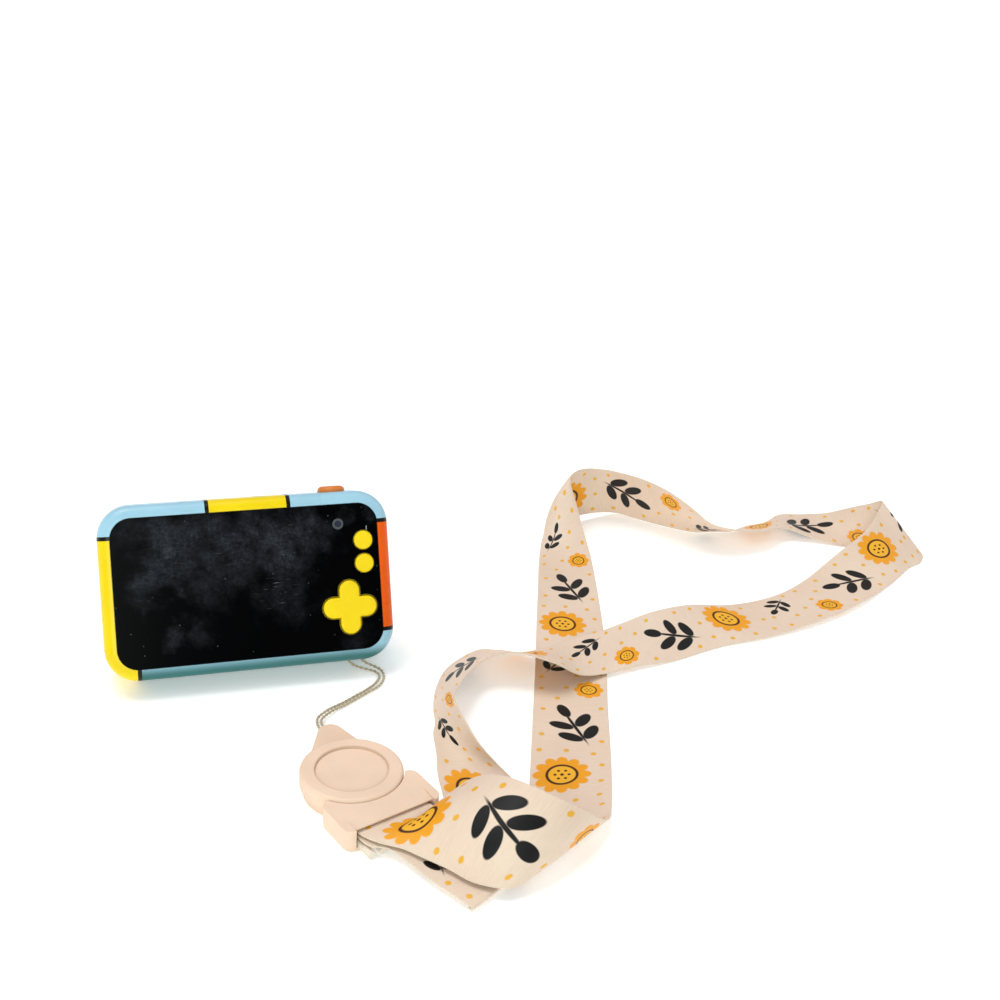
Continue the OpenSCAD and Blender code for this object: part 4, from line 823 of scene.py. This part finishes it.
# %% From lines of points to a plain mesh
def spun(name, lines, tree, sizes):
    """Runs a thread tree over lines of points, in millimetres, and returns the result as a plain piece."""
    mesh = bpy.data.meshes.new(name + "_line")
    points, pairs = [], []
    for line in lines:
        pairs += [(len(points) + i, len(points) + i + 1) for i in range(len(line) - 1)]
        points += [tuple(p * MM) for p in np.array(line, float)]
    mesh.from_pydata(points, pairs, [])
    guide = in_scene(name + "_line", mesh)
    sweep = guide.modifiers.new("sweep", "NODES")
    sweep.node_group = tree
    for item in tree.interface.items_tree:
        if item.in_out == "INPUT" and item.name in sizes:
            sweep[item.identifier] = sizes[item.name]
    bpy.context.view_layer.update()
    done = bpy.data.meshes.new_from_object(guide.evaluated_get(bpy.context.evaluated_depsgraph_get()))
    bpy.data.objects.remove(guide)
    print(name + ":", len(done.polygons), "faces")
    return in_scene(name, done)


# %% Selvedge threads along the ribbon
SELVEDGE_R, SELVEDGE_LOW, SELVEDGE_STEP, SELVEDGE_PITCH = 0.3, 0.32, 1.2, 3.0

edge_lines = []
for k in (0, COLUMNS - 1):
    line = (upper[:, k] + lower[:, k]) / 2
    line[:, 2] = np.maximum(line[:, 2], SELVEDGE_LOW)
    edge_lines.append(line)
selvedge_tree = thread_tree("selvedge_thread", FINISHES["selvedge"], 1, SELVEDGE_PITCH)
selvedge = spun("ribbon_selvedge", edge_lines, selvedge_tree,
                {"Thread radius": SELVEDGE_R * MM, "Sample length": SELVEDGE_STEP * MM})
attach(selvedge, "lanyard")

# %% [markdown]
# The thin cord is a loop: from the clip's neck to the strap bar in the camera's bottom corner, round the bar
# and back to the neck. It is spun from two strands, so the same tree twists two threads round its route.

# %% The thin cord
CORD_ROUTE = [
    (19, -56.2, 1.8), (18.2, -52.6, 1.8), (19, -48.6, 1.5), (23, -44.3, 1), (28, -41, 0.6), (33, -37.6, 0.6),
    (37.5, -34.5, 0.6), (41, -32, 0.6), (43.3, -28.8, 0.6), (44.3, -25.3, 0.6), (43.8, -22.2, 0.8),
    (41.5, -20.4, 1.6), (38.6, -19.9, 3.2), (36.6, -18.6, 5.2), (36.6, -18.1, 6.9), (36, -17.5, 8.2),
    (34.5, -17.3, 8.8), (33, -17.5, 8.2), (32.4, -18.1, 6.9), (32.6, -19.1, 4.7), (34.2, -20.2, 2.9),
    (36.9, -20.9, 1.7), (39.6, -21.5, 1), (41.7, -22.8, 0.7), (42.7, -25.1, 0.6), (41.9, -27.8, 0.6),
    (39.7, -30.7, 0.6), (36.5, -33.4, 0.6), (32.1, -36.4, 0.6), (27.1, -39.8, 0.6), (22, -43.2, 1),
    (17.7, -47.9, 1.5), (16.8, -52.3, 1.8), (17.6, -55.8, 1.8)]
CORD_STEPS = 6
STRAND_R, STRAND_OFFSET, STRAND_STEP, STRAND_PITCH = 0.29, 0.24, 0.3, 3.4

cord_line = smooth(CORD_ROUTE, CORD_STEPS)
cord_tree = thread_tree("twisted_thread", FINISHES["cord"], 2, STRAND_PITCH)
cord = spun("cord_loop", [cord_line], cord_tree, {
    "Thread radius": STRAND_R * MM, "Strand offset": STRAND_OFFSET * MM, "Sample length": STRAND_STEP * MM})
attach(cord, "root")
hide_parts("lanyard_cord")

# %% [markdown]
# A cord and a ribbon have a fixed length. Each starts at the clip and ends at the clip.

print("declared:", ribbon.name, "and", cord.name)

# %% [markdown]
# The toy lies on a plain pale table under soft studio light. The broad light from above and behind is a sun
# with a wide disc, so that the whole table is lit alike. A softbox on each side gives the gloss, and one in
# front, faintly green as some of the light in the photograph is, lifts the back panel. An even white surround
# fills the shadows.

# %% Table
SIDE = 4.0
TABLE_GLOW = 0.26
MOTTLE = 50 * MM

finish, tree, shader = new_finish("pale_table", Roughness=0.8, Emission_Color=(1, 1, 1, 1),
                                  Emission_Strength=TABLE_GLOW)
place = add(tree, "ShaderNodeTexCoord").outputs["Object"]
mottle = add(tree, "ShaderNodeTexNoise", {"Vector": place, "Scale": 1 / MOTTLE, "Detail": 4.0}).outputs[0]
tint = add(tree, "ShaderNodeMix", {0: mottle, 6: linear("#fbfbfa"), 7: linear("#fefefe")}, data_type="RGBA")
tree.links.new(tint.outputs[2], shader.inputs["Base Color"])
mesh = bpy.data.meshes.new("table")
mesh.from_pydata([(-SIDE, -SIDE, 0), (SIDE, -SIDE, 0), (SIDE, SIDE, 0), (-SIDE, SIDE, 0)], [], [(0, 1, 2, 3)])
mesh.materials.append(finish)
table = in_scene("table", mesh)
print("table:", 2 * SIDE, "m wide")

# %% Lights
BROAD_POWER, BROAD_DISC, BROAD_FROM = 1.5, math.radians(32), (-0.25, 0.28, 1.0)
WHITE, FAINT_GREEN = (1, 1, 1), (0.82, 1, 0.92)
# name, place, the point that it is aimed at, size, power, colour
SOFTBOXES = [("softbox_left", (-0.8, -0.2, 0.7), (0.05, -0.03, 0), 0.5, 0.5, WHITE),
             ("softbox_right", (0.9, 0.0, 0.7), (0.1, 0, 0), 0.6, 1.6, WHITE),
             ("softbox_front", (-0.3, -0.95, 0.42), (0.02, -0.03, 0.02), 0.6, 4.4, FAINT_GREEN)]

broad = bpy.data.lights.new("broad_light", "SUN")
broad.energy, broad.angle = BROAD_POWER, BROAD_DISC
light = in_scene("broad_light", broad)
light.rotation_euler = (-Vector(BROAD_FROM)).to_track_quat("-Z", "Y").to_euler()
for name, place, aim, size, power, colour in SOFTBOXES:
    lamp = bpy.data.lights.new(name, "AREA")
    lamp.shape, lamp.size, lamp.energy, lamp.color = "SQUARE", size, power, colour
    light = in_scene(name, lamp)
    light.location = place
    light.rotation_euler = (Vector(aim) - Vector(place)).to_track_quat("-Z", "Y").to_euler()
print("lights:", 1 + len(SOFTBOXES))

# %% White surround
FILL, WALL = 0.38, 1.0

world = bpy.data.worlds.new("white_surround")
world.use_nodes = True
tree = world.node_tree
tree.nodes.clear()
# The surround lights the toy softly, and behind the table's edge it shows as a plain white wall
fill = add(tree, "ShaderNodeBackground", {"Color": (1, 1, 1, 1), "Strength": FILL}).outputs[0]
wall = add(tree, "ShaderNodeBackground", {"Color": (1, 1, 1, 1), "Strength": WALL}).outputs[0]
seen = add(tree, "ShaderNodeLightPath").outputs["Is Camera Ray"]
around = add(tree, "ShaderNodeMixShader", {0: seen, 1: fill, 2: wall}).outputs[0]
add(tree, "ShaderNodeOutputWorld", {"Surface": around})
bpy.context.scene.world = world
print("stage set")
